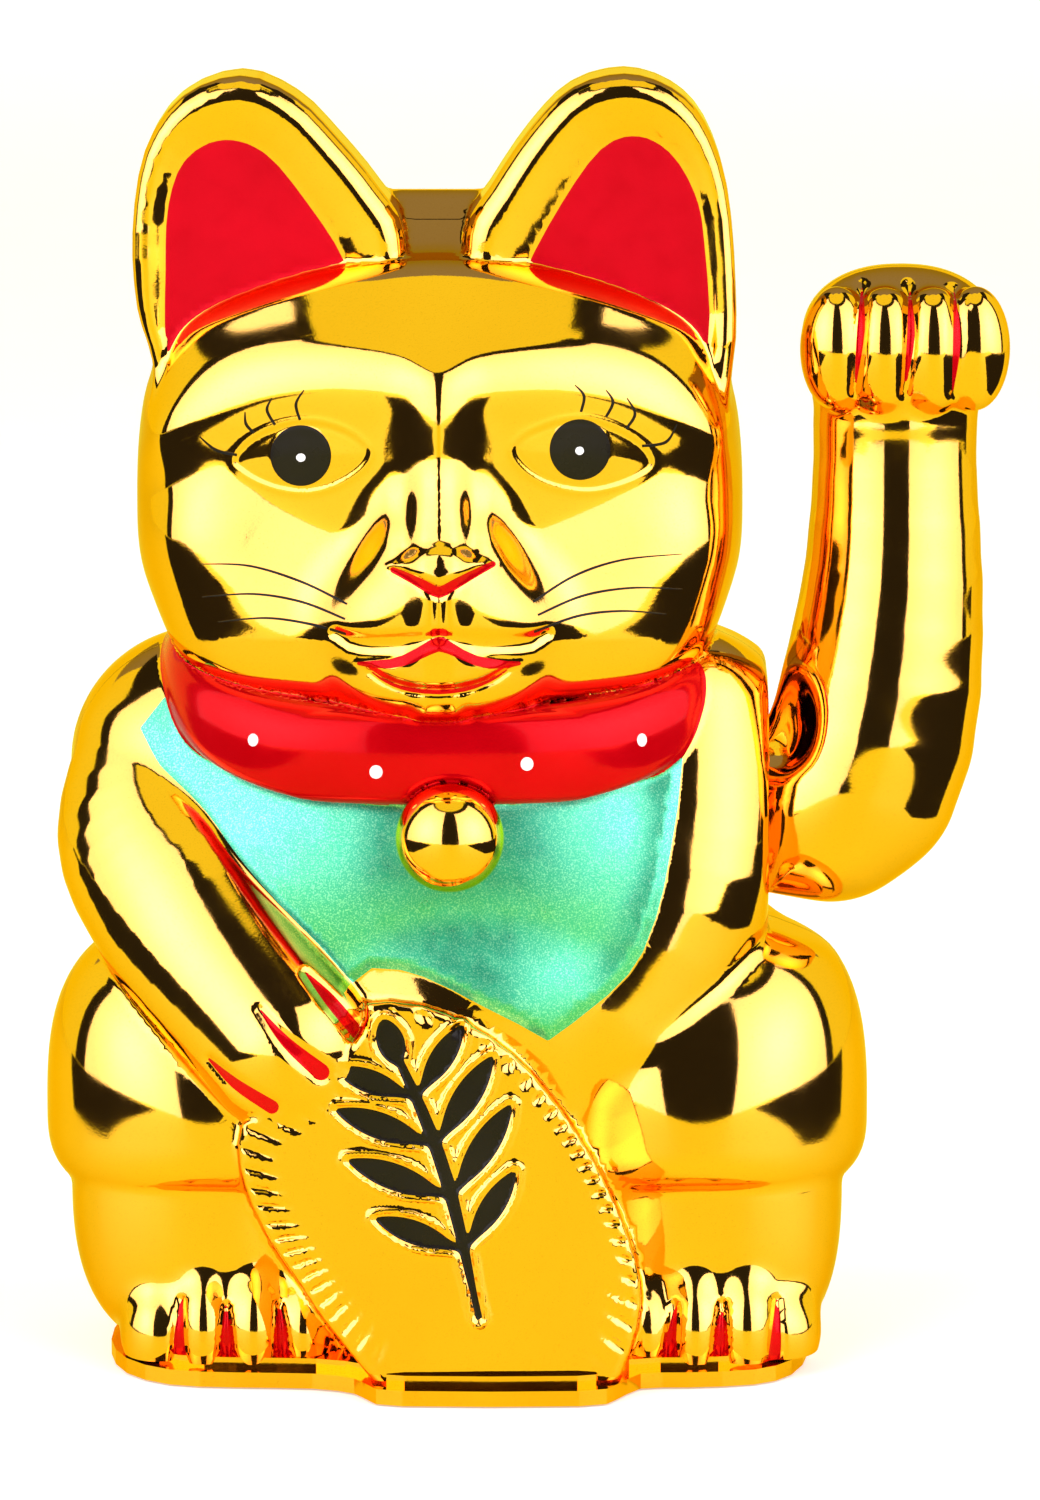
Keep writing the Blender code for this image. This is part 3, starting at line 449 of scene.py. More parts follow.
def ring(p, grow=0.0):
    """The collar."""
    x, y, z = p[:, 0] + 0.9, p[:, 1], p[:, 2]
    rx, ry = 39.8, np.where(y < 0, 31.6, 27.5)
    e = ((np.abs(x) / rx) ** 2.45 + (np.abs(y) / ry) ** 2.45 + 1e-9) ** (1 / 2.45)
    r = np.hypot(x, y)
    dr = r - r / e
    t = np.clip(-y / 31.0, -1, 1)
    zc = np.where(t > 0, 107.5 - 9.6 * t ** 1.25, 107.5 + 1.5 * (-t))
    b = np.where(t > 0, 5.2 + 2.0 * t, 5.2)
    a = 4.3
    q = ((np.abs(dr) / a) ** 2.5 + (np.abs(z - zc) / b) ** 2.5 + 1e-9) ** 0.4
    return (q - 1) * 4.2 - grow


def limb(p, knots, n):
    """A limb swept smoothly through knots of (x, y, z, radius)."""
    k = [knots[0]] + list(knots) + [knots[-1]]
    at = []
    for i in range(1, len(k) - 2):
        for j in range(n):
            t = j / n
            at.append([0.5 * (2 * b + (c - a) * t + (2 * a - 5 * b + 4 * c - d) * t * t + (3 * b - a - 3 * c + d) * t ** 3) for a, b, c, d in zip(k[i - 1], k[i], k[i + 1], k[i + 2])])
    at.append(list(knots[-1]))
    d = None
    for a, b in zip(at, at[1:]):
        e = cone(p, a[:3], b[:3], a[3], b[3])
        d = e if d is None else np.minimum(d, e)
    return d


ARM_KNOTS = [(-45.8, -1, 92.5, 12.6), (-45.4, -7.5, 81.5, 15.6), (-41.0, -15, 73.6, 15.9), (-34.5, -23.0, 64.5, 15.0), (-24.6, -32.4, 53.4, 13.5)]


def arm_folded(p):
    return limb(p, ARM_KNOTS, 4)


def coin_front(p):
    """Signed height behind the coin's tilted face, negative inside."""
    return -(p[:, 1] + 41.6 + 0.012 * p[:, 2])


COIN_MAP = Map(lambda u, v: poly(u, v, COIN), (190, 690), (950, 1430), 1.0, 1)
SPRIG_MAP = Map(sprig, (270, 610), (990, 1370), 1.0, 1)
BIB_MAP = Map(lambda u, v: poly(u, v, BIB), (110, 730), (620, 1070), 1.0, 2)


def coin(p, u, v):
    d2 = COIN_MAP(u, v) / UNIT
    f = coin_front(p)
    # a shallow dome across the face
    f = f - np.clip(1.0 - 0.0010 * ((p[:, 0] + 1.5) ** 2) - 0.0005 * (p[:, 2] - 26) ** 2, -0.5, 1.0) + 0.4
    # flutes pressed into the border, all round but for the bottom edge and the corner under the paw
    ang = np.arctan2(v - 1215, u - 440)
    w = np.abs((((ang + 0.16 * np.sin(2 * ang)) * 8.3) % 1.0) - 0.5) * 2
    high = ((u - 440) * 0.8 - (v - 1215)) > 60
    reach = np.where(high, 3.2, 6.2)
    band = step(0.2, 1.3, -d2) * (1 - step(reach * 0.45, reach, -d2))
    low = 1 - step(1338, 1372, v)
    hand = 1 - (1 - step(1040, 1090, v)) * (1 - step(370, 410, u))
    f = f + np.where(high, 0.62, 0.48) * band * (1 - step(0.05, 0.62, w)) * low * hand
    back = p[:, 1] + 12
    r = 1.3
    qx, qy = d2 + r, f + r
    e = np.minimum(np.maximum(qx, qy), 0) + np.hypot(np.maximum(qx, 0), np.maximum(qy, 0)) - r
    return np.maximum(e, back)


def toes(p, spec, d, k=1.6):
    for c, r in spec:
        d = smin(d, ell(p, c, r), k)
    return d


FOOT_TOES = [((-45.2, -21.8, 6.0), (6.0, 8.8, 8.6)), ((-38.0, -23.4, 7.0), (6.0, 9.2, 10.0)), ((-30.2, -23.6, 7.0), (6.0, 9.2, 10.0)), ((-22.6, -22.8, 6.6), (5.6, 9.0, 9.2)),
             ((30.6, -22.8, 6.6), (5.6, 9.0, 9.2)), ((38.0, -23.6, 7.0), (6.0, 9.2, 10.0)), ((46.0, -23.4, 7.0), (6.2, 9.2, 10.0)), ((51.6, -20.4, 5.8), (6.2, 9.0, 8.2))]


def torso(p, u, v):
    d = sup(p, (-1.5, 0, 71), (50, 33.0, 40), (54, 33.5, 40.5), 2.25)
    # shoulders
    d = smin(d, ell(p, (-38, 6, 91), (21.5, 24, 21)), 7)
    d = smin(d, ell(p, (36, 6, 92), (20.5, 24, 21)), 7)
    # belly and back
    d = smin(d, sup(p, (1.0, 3, 36), (48, 32.0, 70), (48, 35.0, 44), 2.6), 9)
    # the rise that the coin's top edge leans on
    d = smin(d, ell(p, (3.0, -19, 57), (23, 16.0, 15)), 7)
    # the flank that runs down from the raised arm's shoulder beside the bib
    return smin(d, limb(p, [(37.0, -6, 100, 13.0), (37.6, -11.5, 86, 13.2), (35.5, -15.5, 72, 13.0), (27.0, -18.5, 56, 12.0)], 3), 5)


def legs(p):
    d = skull(p, (-37.0, -4, 37.5), (26.2, 29.0, 14.5), (26, 31, 30.5), 2.9, 2.1)
    e = skull(p, (38.4, -4, 37.0), (26, 29.0, 13.5), (27.0, 31, 33.0), 2.9, 2.1)
    d = np.minimum(d, e)
    f = sup(p, (-38.0, -3, 27), (21.4, 25.6, 28), (21.4, 28, 14), 2.6)
    g = sup(p, (40.2, -3, 27), (21.3, 25.6, 29), (21.3, 28, 14), 2.8)
    return d, np.minimum(f, g)


def tail(p):
    """A short tail that curls up the back."""
    d = cone(p, (10, 33, 16), (23, 36, 22), 7.0, 6.4)
    d = smin(d, cone(p, (23, 36, 22), (30, 33.5, 34), 6.4, 5.4), 4)
    return smin(d, cone(p, (30, 33.5, 34), (27, 33.5, 46), 5.4, 4.2), 4)


def groove(u, v, lines, widths, reach):
    out = None
    for pts, w in zip(lines, widths):
        c, ws = wide(pts, w, 4)
        d = stroke(u, v, c, ws)
        out = d if out is None else np.minimum(out, d)
    return 1 - step(-3, reach, out)


ARM_GROOVE = Map(lambda u, v: groove(u, v, ARM_CLAWS, ARM_CLAW_W, 8), (180, 390), (940, 1135), 1.0, 1)
FOOT_GROOVE = Map(lambda u, v: groove(u, v, FOOT_CLAWS, [FOOT_CLAW_W] * 6, 8), (150, 810), (1280, 1400), 1.0, 1)
PAW_GROOVE = Map(lambda u, v: groove(u, v, PAW_CLAWS, [PAW_CLAW_W] * 3, 9), (830, 985), (262, 412), 1.0, 1)


def members(p):
    """The separate forms of the shell, each worked out only near itself."""
    p = p.astype(F)
    x, y, z = p[:, 0], p[:, 1], p[:, 2]
    u, v = sheet(p)

    def heads(q):
        d = smin(head(q), where(q, (q[:, 2] > 146) & (np.abs(q[:, 0] + 2.3) < 21), saddle), 1.2)
        near = (q[:, 1] < -10) & (q[:, 2] > 102) & (q[:, 2] < 166) & (np.abs(d) < 12)
        if near.any():
            n = q[near]
            a, b = sheet(n)
            d[near] -= FACE(a, b) * (1 - step(-20, -10, n[:, 1])) * step(102, 106, n[:, 2])
        return d

    def bodies(q):
        d = torso(q, None, None)
        near = (q[:, 1] < -10) & (np.abs(d) < 8)
        if near.any():
            a, b = sheet(q[near])
            n_x = q[near, 0]
            m = BIB_MAP(a, b) / UNIT
            d[near] -= 0.6 * (1 - step(-1.8, 0.3, m)) * step(-30, -10, n_x)
        return d

    def arms(q):
        d = arm_folded(q)
        near = (np.abs(d) < 8) & (q[:, 1] < -8)
        if near.any():
            d[near] += 0.6 * ARM_GROOVE(*sheet(q[near]))
        return d

    def seat(q):
        a, b = legs(q)
        d = toes(q, FOOT_TOES, smin(a, b, 0.9), 3.0)
        near = (np.abs(d) < 8) & (q[:, 1] < -8) & (q[:, 2] < 22)
        if near.any():
            d[near] += 0.7 * FOOT_GROOVE(*sheet(q[near]))
        return d

    def coins(q):
        d = coin(q, *sheet(q))
        near = (np.abs(d) < 6) & (q[:, 1] < -30)
        if near.any():
            s = SPRIG_MAP(*sheet(q[near])) / UNIT
            d[near] -= 0.55 * np.exp(-((s - 0.75) / 0.42) ** 2) - 0.30 * (1 - step(-0.35, 0.05, s))
        return d

    return {
        "head": where(p, z > 92, heads), "ears": where(p, (z > 138) & (np.abs(y) < 26), ears),
        "torso": where(p, z < 124, bodies), "arm": where(p, (x < -4) & (z < 118) & (y < 28), arms),
        "legs": where(p, z < 84, seat), "coin": where(p, (y < -12) & (z < 78) & (np.abs(x) < 50), coins),
        "ring": where(p, (z > 82) & (z < 126), ring), "tail": where(p, (y > 12) & (z < 66), tail),
        "bell": np.sqrt((x - 0.3) ** 2 + (y + 37.6) ** 2 + (z - 86.6) ** 2) - 8.25,
    }


def figure(p):
    m = members(p)
    x, y, z = (p[:, i].astype(F) for i in range(3))
    d = smin(m["head"], m["ears"], 0.9)
    b = smin(m["torso"], where(p.astype(F), (z > 86) & (z < 124), lambda q: ell(q, (-1.0, 0, 106), (37, 29, 15))), 3)
    b = smin(b, m["legs"], 2.2)
    b = smin(b, m["tail"], 2.5)
    b = smin(b, m["arm"], 1.4)
    b = smin(b, m["coin"], 1.2)
    # the flat side that the raised arm turns against
    cut = np.minimum(x - 49.5, z - (67.5 - np.clip(x - 49.5, 0, 12.5) * 0.40))
    b = smax(b, np.where(z < 118, cut, -5.0).astype(F), 1.4)
    # the round pocket that the raised arm's root turns in
    pocket = np.maximum(np.hypot(y, z - 84.0) - (13.2 + np.clip(0.9 * (x - 46.2), 0, 3.4)), 45.6 - x)
    b = smax(b, np.where(x > 30, -pocket, -5.0).astype(F), 0.8)
    d = smin(np.minimum(d, m["ring"]), b, 0.8)
    # the bell, standing in a small hollow
    d = smax(d, -(m["bell"] - 0.55), 0.9)
    return np.minimum(d, m["bell"])


RAISED = [((43.5, 0.4, 84.0), 11.2), ((52.5, 0.0, 83.9), 12.6), ((59.5, -0.4, 85.2), 15.0), ((63.4, -0.6, 89.0), 15.6), ((65.8, -0.6, 96.0), 15.55), ((67.3, -0.3, 104.0), 15.1),
          ((68.3, 0.0, 112.0), 14.3), ((69.0, 0.4, 120.0), 13.5), ((69.2, 0.9, 128.0), 12.85), ((69.2, 1.4, 136.0), 12.3), ((69.2, 1.8, 144.0), 12.2), ((69.4, 1.9, 152.0), 12.8)]


def raised(p):
    """The raised arm."""
    p = p.astype(F)
    u, v = sheet(p)
    d = None
    for (a, ra), (b, rb) in zip(RAISED, RAISED[1:]):
        e = cone(p, a, b, ra, rb)
        d = e if d is None else smin(d, e, 2.0)
    d = smin(d, sup(p, (69.9, 1.0, 158.0), (15.3, 12.6, 11.6), (15.3, 13.2, 11.6), 2.25), 4)
    for cx, cy, r in ((59.6, -8.2, 5.6), (66.9, -9.6, 5.9), (74.4, -9.6, 5.9), (80.9, -7.9, 5.4)):
        d = smin(d, ell(p, (cx, cy, 157.6), (r, 6.0, 9.6)), 1.8)
    near = (np.abs(d) < 8) & (p[:, 1] < -3)
    if near.any():
        d[near] += 0.55 * PAW_GROOVE(u[near], v[near])
    # the dimple inside the elbow
    d = smax(d, -ell(p, (51.6, -9.5, 99.5), (4.6, 6.0, 6.5)), 4.0)
    return np.maximum(d, 46.5 - p[:, 0])


# ======================================================================================
# Meshing
# ======================================================================================
POOL = ThreadPoolExecutor(4)


def evaluate(fn, p, chunk=50000):
    if not len(p):
        return np.zeros(0, F)
    parts = [p[i:i + chunk] for i in range(0, len(p), chunk)]
    return np.concatenate(list(POOL.map(fn, parts)))


def gradient(fn, p, e=0.12):
    k = np.array([[1, -1, -1], [-1, -1, 1], [-1, 1, -1], [1, 1, 1]], float)
    g = sum(k[i][None] * evaluate(fn, p + k[i] * e)[:, None] for i in range(4))
    return g / (4 * e)


def settle(fn, p, rounds=2, e=0.12, most=0.6):
    """Moves points onto the surface, and returns them with their outward normals."""
    for _ in range(rounds):
        g = gradient(fn, p, e)
        d = evaluate(fn, p)[:, None]
        s = d * g / np.maximum((g * g).sum(1)[:, None], 0.05)
        n = np.linalg.norm(s, axis=1)[:, None]
        p = p - s * np.minimum(1, most / np.maximum(n, 1e-9))
    g = gradient(fn, p, e)
    return p, g / np.maximum(np.linalg.norm(g, axis=1)[:, None], 1e-9)


def nets(fn, lo, hi, h):
    """Surface nets on a grid of spacing h, worked out only near the surface."""
    lo, hi = np.array(lo, float), np.array(hi, float)
    c = 4
    n = (np.ceil((hi - lo) / (h * c)).astype(int)) * c + 1
    axes = [lo[i] + h * np.arange(n[i]) for i in range(3)]
    m = [(n[i] - 1) // c + 1 for i in range(3)]
    gx, gy, gz = np.meshgrid(axes[0][::c], axes[1][::c], axes[2][::c], indexing="ij")
    coarse = evaluate(fn, np.stack([gx.ravel(), gy.ravel(), gz.ravel()], 1)).reshape(m)
    # cells of the coarse grid that may hold the surface
    reach = h * c * 1.25
    near = np.abs(coarse) < reach
    cell = np.zeros([k - 1 for k in m], bool)
    low = np.full([k - 1 for k in m], np.inf)
    high = -low
    for a in (0, 1):
        for b in (0, 1):
            for e in (0, 1):
                part = np.s_[a:m[0] - 1 + a, b:m[1] - 1 + b, e:m[2] - 1 + e]
                cell |= near[part]
                low = np.minimum(low, coarse[part])
                high = np.maximum(high, coarse[part])
    cell |= (low < 0) & (high > 0)
    fine = np.repeat(np.repeat(np.repeat(np.where(coarse[:-1, :-1, :-1] < 0, -9.0, 9.0).astype(F), c, 0), c, 1), c, 2)
    fine = np.pad(fine, ((0, 1), (0, 1), (0, 1)), mode="edge")
    want = np.zeros(n, bool)
    big = np.repeat(np.repeat(np.repeat(cell, c, 0), c, 1), c, 2)
    for a in (0, 1):
        for b in (0, 1):
            for e in (0, 1):
                want[a:n[0] - 1 + a, b:n[1] - 1 + b, e:n[2] - 1 + e] |= big
    idx = np.argwhere(want)
    pts = np.stack([axes[i][idx[:, i]] for i in range(3)], 1)
    fine[want] = evaluate(fn, pts)
    s = fine < 0
    # active cells
    shape = [k - 1 for k in n]
    count = np.zeros(shape, np.int8)
    for a in (0, 1):
        for b in (0, 1):
            for e in (0, 1):
                count += s[a:shape[0] + a, b:shape[1] + b, e:shape[2] + e]
    active = (count > 0) & (count < 8)
    ci = np.argwhere(active)
    vid = np.full(shape, -1, np.int64)
    vid[active] = np.arange(len(ci))
    acc = np.zeros((len(ci), 3))
    num = np.zeros(len(ci))
    corners = [(a, b, e) for a in (0, 1) for b in (0, 1) for e in (0, 1)]
    val = {k: fine[ci[:, 0] + k[0], ci[:, 1] + k[1], ci[:, 2] + k[2]] for k in corners}
    for k in corners:
        for ax in range(3):
            if k[ax]:
                continue
            k2 = tuple(k[i] + (i == ax) for i in range(3))
            a, b = val[k], val[k2]
            cross = (a < 0) != (b < 0)
            t = np.where(cross, a / np.where(cross, a - b, 1), 0)
            off = np.array(k, float)[None] + np.eye(3)[ax][None] * t[:, None]
            acc += off * cross[:, None]
            num += cross
    verts = lo + h * (ci + acc / np.maximum(num, 1)[:, None])
    quads = []
    for ax in range(3):
        o1, o2 = [i for i in range(3) if i != ax]
        a = s
        sl0 = [slice(None)] * 3
        sl1 = [slice(None)] * 3
        sl0[ax], sl1[ax] = slice(0, -1), slice(1, None)
        diff = a[tuple(sl0)] != a[tuple(sl1)]
        e = np.argwhere(diff)
        ok = (e[:, o1] > 0) & (e[:, o2] > 0) & (e[:, o1] < shape[o1]) & (e[:, o2] < shape[o2])
        e = e[ok]
        ids = []
        for d1, d2 in ((0, 0), (-1, 0), (-1, -1), (0, -1)):
            k = e.copy()
            k[:, o1] += d1
            k[:, o2] += d2
            ids.append(vid[k[:, 0], k[:, 1], k[:, 2]])
        q = np.stack(ids, 1)
        flip = a[e[:, 0], e[:, 1], e[:, 2]]
        if ax == 1:
            flip = ~flip
        q = np.where(flip[:, None], q, q[:, ::-1])
        quads.append(q)
    quads = np.concatenate(quads)
    quads = quads[(quads >= 0).all(1)]
    # the shorter diagonal of each quad
    a, b, c2, d = (verts[quads[:, i]] for i in range(4))
    short = ((a - c2) ** 2).sum(1) <= ((b - d) ** 2).sum(1)
    t1 = np.where(short[:, None], quads[:, [0, 1, 2]], quads[:, [0, 1, 3]])
    t2 = np.where(short[:, None], quads[:, [0, 2, 3]], quads[:, [1, 2, 3]])
    return verts, np.concatenate([t1, t2])


def edges_of(tris):
    e = np.concatenate([tris[:, [0, 1]], tris[:, [1, 2]], tris[:, [2, 0]]])
    e.sort(axis=1)
    u, inv = np.unique(e, axis=0, return_inverse=True)
    inv = inv.reshape(-1)
    n = len(tris)
    return u, np.stack([inv[:n], inv[n:2 * n], inv[2 * n:]], 1)


def split(tris, edges, te, new, tags=None):
    """Splits triangles at the edges whose entry in new is a vertex number, else -1. tags ride along."""
    m = new[te]
    cnt = (m >= 0).sum(1)
    out, src = [tris[cnt == 0]], [np.flatnonzero(cnt == 0)]

    def take(which, cols):
        out.append(cols)
        src.append(which)
    for k in range(3):      # one edge: k
        w = np.flatnonzero((cnt == 1) & (m[:, k] >= 0))
        if len(w):
            a, b, c = tris[w, k], tris[w, (k + 1) % 3], tris[w, (k + 2) % 3]
            x = m[w, k]
            take(w, np.stack([a, x, c], 1))
            take(w, np.stack([x, b, c], 1))
    for k in range(3):      # two edges: all but k
        w = np.flatnonzero((cnt == 2) & (m[:, k] < 0))
        if len(w):
            a, b, c = tris[w, k], tris[w, (k + 1) % 3], tris[w, (k + 2) % 3]
            x, y = m[w, (k + 1) % 3], m[w, (k + 2) % 3]
            take(w, np.stack([x, c, y], 1))
            take(w, np.stack([a, b, x], 1))
            take(w, np.stack([a, x, y], 1))
    w = np.flatnonzero(cnt == 3)
    if len(w):
        a, b, c = tris[w, 0], tris[w, 1], tris[w, 2]
        x, y, z = m[w, 0], m[w, 1], m[w, 2]
        take(w, np.stack([a, x, z], 1))
        take(w, np.stack([x, b, y], 1))
        take(w, np.stack([z, y, c], 1))
        take(w, np.stack([x, y, z], 1))
    src = np.concatenate(src)
    return np.concatenate(out), (None if tags is None else tags[src])


def refine(fn, verts, tris, want, rounds=2):
    """Splits edges longer than want(points) asks, and draws the new points onto the surface."""
    for _ in range(rounds):
        edges, te = edges_of(tris)
        a, b = verts[edges[:, 0]], verts[edges[:, 1]]
        mid = (a + b) / 2
        long = np.linalg.norm(a - b, axis=1) > 1.35 * want(mid)
        if not long.any():
            break
        new = np.full(len(edges), -1, np.int64)
        new[long] = len(verts) + np.arange(long.sum())
        pts, _ = settle(fn, mid[long], 1)
        verts = np.concatenate([verts, pts])
        tris, _ = split(tris, edges, te, new)
    return verts, tris


class Sculpt:
    """A triangle surface with a material number on each triangle."""

    def __init__(self, fn, verts, tris):
        self.fn, self.v, self.t = fn, verts, tris
        self.mat = np.zeros(len(tris), np.int32)

    def cut(self, value, snap=0.12):
        """Splits along the zero line of value(points); returns the side of each triangle, negative inside."""
        val = value(self.v).astype(float)
        w = val[self.t]
        mixed = (w.min(1) < 0) & (w.max(1) > 0)
        part, rest = self.t[mixed], self.t[~mixed]
        edges, _ = edges_of(part)
        a, b = val[edges[:, 0]], val[edges[:, 1]]
        crossing = (a * b) < 0
        t = np.where(crossing, a / np.where(a != b, a - b, 1), 0.5)
        # a vertex very near the line moves onto it
        for near, end, other, s in ((crossing & (t < snap), 0, 1, t), (crossing & (t > 1 - snap), 1, 0, 1 - t)):
            k = edges[near, end]
            self.v[k] = self.v[k] + (self.v[edges[near, other]] - self.v[k]) * s[near][:, None] * (val[k] != 0)[:, None]
            val[k] = 0
        a, b = val[edges[:, 0]], val[edges[:, 1]]
        crossing = (a * b) < 0
        t = a[crossing] / (a[crossing] - b[crossing])
        pts = self.v[edges[crossing, 0]] * (1 - t)[:, None] + self.v[edges[crossing, 1]] * t[:, None]
        new = np.full(len(edges), -1, np.int64)
        new[crossing] = len(self.v) + np.arange(crossing.sum())
        edges, te = edges_of(part)
        self.v = np.concatenate([self.v, pts])
        val = np.concatenate([val, np.zeros(len(pts))])
        cut, mat = split(part, edges, te, new, self.mat[mixed])
        self.t, self.mat = np.concatenate([rest, cut]), np.concatenate([self.mat[~mixed], mat])
        return val[self.t].sum(1) / 3.0

    def paint(self, value, mat, only=None):
        side = self.cut(value)
        inside = side < 0
        if only is not None:
            inside &= only(self.v[self.t].mean(1), self.mat)
        self.mat[inside] = mat

    def keep(self, value):
        side = self.cut(value)
        self.t, self.mat = self.t[side < 0], self.mat[side < 0]
        self.tidy()

    def tidy(self):
        used, inv = np.unique(self.t, return_inverse=True)
        self.v, self.t = self.v[used], inv.reshape(self.t.shape)
        a, b, c = (self.v[self.t[:, i]] for i in range(3))
        ok = np.linalg.norm(np.cross(b - a, c - a), axis=1) > 1e-7
        self.t, self.mat = self.t[ok], self.mat[ok]


def build(name, sc, mats, rim=None, smooth_eps=0.12, shading=None):
    """The Blender object: rim is the depth of the wall turned in at open edges."""
    sc.tidy()
    v, n = sc.v, None
    g = gradient(shading or sc.fn, v, smooth_eps)
    n = g / np.maximum(np.linalg.norm(g, axis=1)[:, None], 1e-9)
    tris, mat = sc.t, sc.mat
    verts = v
    smooth = np.ones(len(tris), bool)
    if rim:
        edges, te = edges_of(tris)
        cnt = np.bincount(te.ravel(), minlength=len(edges))
        w, k = np.nonzero(cnt[te] == 1)
        a, b = tris[w, k], tris[w, (k + 1) % 3]
        pa, pb = verts[a] - n[a] * rim, verts[b] - n[b] * rim
        pa[:, :] = rim_flat(verts[a], n[a], rim)
        pb[:, :] = rim_flat(verts[b], n[b], rim)
        base = len(verts)
        m = len(a)
        verts = np.concatenate([verts, verts[a], verts[b], pa, pb])
        n = np.concatenate([n, n[a], n[b], n[a], n[b]])
        i = np.arange(m)
        A, B, C, D = base + i, base + m + i, base + 2 * m + i, base + 3 * m + i
        extra = np.concatenate([np.stack([B, A, C], 1), np.stack([B, C, D], 1)])
        tris = np.concatenate([tris, extra])
        mat = np.concatenate([mat, np.concatenate([mat[w], mat[w]])])
        smooth = np.concatenate([smooth, np.zeros(len(extra), bool)])
    me = bpy.data.meshes.new(name)
    me.vertices.add(len(verts))
    me.vertices.foreach_set("co", (verts * 0.001).astype(np.float32).ravel())
    me.loops.add(len(tris) * 3)
    me.loops.foreach_set("vertex_index", tris.astype(np.int32).ravel())
    me.polygons.add(len(tris))
    me.polygons.foreach_set("loop_start", (np.arange(len(tris)) * 3).astype(np.int32))
    me.polygons.foreach_set("material_index", mat.astype(np.int32))
    me.polygons.foreach_set("use_smooth", smooth)
    me.update(calc_edges=True)
    for m in mats:
        me.materials.append(m)
    corner = n[tris].astype(np.float32)
    flat = ~smooth
    if flat.any():
        a, b, c = (verts[tris[flat][:, i]] for i in range(3))
        fnm = np.cross(b - a, c - a)
        fnm /= np.maximum(np.linalg.norm(fnm, axis=1)[:, None], 1e-12)
        corner[flat] = fnm[:, None, :]
    me.normals_split_custom_set(corner.reshape(-1, 3))
    ob = bpy.data.objects.new(name, me)
    bpy.context.scene.collection.objects.link(ob)
    return ob


def rim_flat(p, n, depth):
    """Points moved in from an open edge, keeping to the edge's own plane."""
    q = n.copy()
    on_seam = np.abs(np.abs(p[:, 1]) - SEAM) < 0.02
    on_foot = np.abs(p[:, 2] - FOOT) < 0.02
    q[on_seam, 1] = 0
    q[on_foot, 2] = 0
    hole = ~(on_seam | on_foot)
    q[hole] = [1, 0, 0]
    q /= np.maximum(np.linalg.norm(q, axis=1)[:, None], 1e-9)
    return p - q * depth


SEAM, FOOT = 0.11, 2.85


# ======================================================================================
# Materials
# ======================================================================================
def nodes_for(name):
    m = bpy.data.materials.new(name)
    m.use_nodes = True
    t = m.node_tree
    return m, t, t.nodes["Principled BSDF"]


def add(t, kind, **values):
    n = t.nodes.new(kind)
    for k, v in values.items():
        if k in n.inputs:
            n.inputs[k].default_value = v
        else:
            setattr(n, k, v)
    return n


def place(t, scale=(1, 1, 1)):
    """Object coordinates in metres, scaled."""
    c = add(t, "ShaderNodeTexCoord")
    m = add(t, "ShaderNodeMapping")
    m.inputs["Scale"].default_value = scale
    t.links.new(c.outputs["Object"], m.inputs["Vector"])
    return m.outputs["Vector"]


def noise(t, vec, scale, detail=2.0, rough=0.5):
    n = add(t, "ShaderNodeTexNoise")
    n.inputs["Scale"].default_value = scale
    n.inputs["Detail"].default_value = detail
    n.inputs["Roughness"].default_value = rough
    t.links.new(vec, n.inputs["Vector"])
    return n.outputs["Fac"]


def ramp(t, fac, stops):
    r = add(t, "ShaderNodeValToRGB")
    e = r.color_ramp.elements
    while len(e) > len(stops):
        e.remove(e[-1])
    while len(e) < len(stops):
        e.new(1.0)
    for q, (pos, col) in zip(e, stops):
        q.position = pos
        q.color = col if len(col) == 4 else (*col, 1)
    t.links.new(fac, r.inputs["Fac"])
    return r.outputs["Color"]


def to_range(t, fac, lo, hi, a=0.0, b=1.0):
    n = add(t, "ShaderNodeMapRange")
    for k, v in zip(("From Min", "From Max", "To Min", "To Max"), (a, b, lo, hi)):
        n.inputs[k].default_value = v
    t.links.new(fac, n.inputs["Value"])
    return n.outputs["Result"]


def bump(t, b, heights, strength=1.0):
    """heights is a list of (fac, distance in metres)."""
    last = None
    for fac, dist in heights:
        n = add(t, "ShaderNodeBump")
        n.inputs["Strength"].default_value = strength
        n.inputs["Distance"].default_value = dist
        t.links.new(fac, n.inputs["Height"])
        if last is not None:
            t.links.new(last, n.inputs["Normal"])
        last = n.outputs["Normal"]
    t.links.new(last, b.inputs["Normal"])


def chrome(name, low, high, rough=(0.045, 0.085), coat=0.06, waves=0.00006, grain=0.0000035, specks=True):
    """Metal deposited on moulded plastic under a tinted lacquer."""
    m, t, b = nodes_for(name)
    vec = place(t)
    b.inputs["Metallic"].default_value = 1.0
    b.inputs["Specular Tint"].default_value = (1.0, 0.72, 0.20, 1)
    tone = noise(t, vec, 38, 3)
    col = ramp(t, tone, [(0.3, low), (0.7, high)])
    if specks:
        dust = noise(t, vec, 5200, 1.0, 0.4)
        mask = ramp(t, dust, [(0.60, (0, 0, 0)), (0.74, (1, 1, 1))])
        mix = add(t, "ShaderNodeMix", data_type="RGBA")
        t.links.new(mask, mix.inputs[0])
        t.links.new(col, mix.inputs[6])
        mix.inputs[7].default_value = (low[0] * 0.90, low[1] * 0.88, low[2] * 0.8, 1)
        col = mix.outputs[2]
    t.links.new(col, b.inputs["Base Color"])
    t.links.new(to_range(t, noise(t, vec, 210, 4, 0.6), rough[0], rough[1], 0.3, 0.7), b.inputs["Roughness"])
    b.inputs["Coat Weight"].default_value = coat
    b.inputs["Coat Roughness"].default_value = 0.03
    b.inputs["Coat IOR"].default_value = 1.5
    bump(t, b, [(noise(t, vec, 55, 2, 0.45), waves), (noise(t, vec, 2600, 2, 0.6), grain)])
    return m


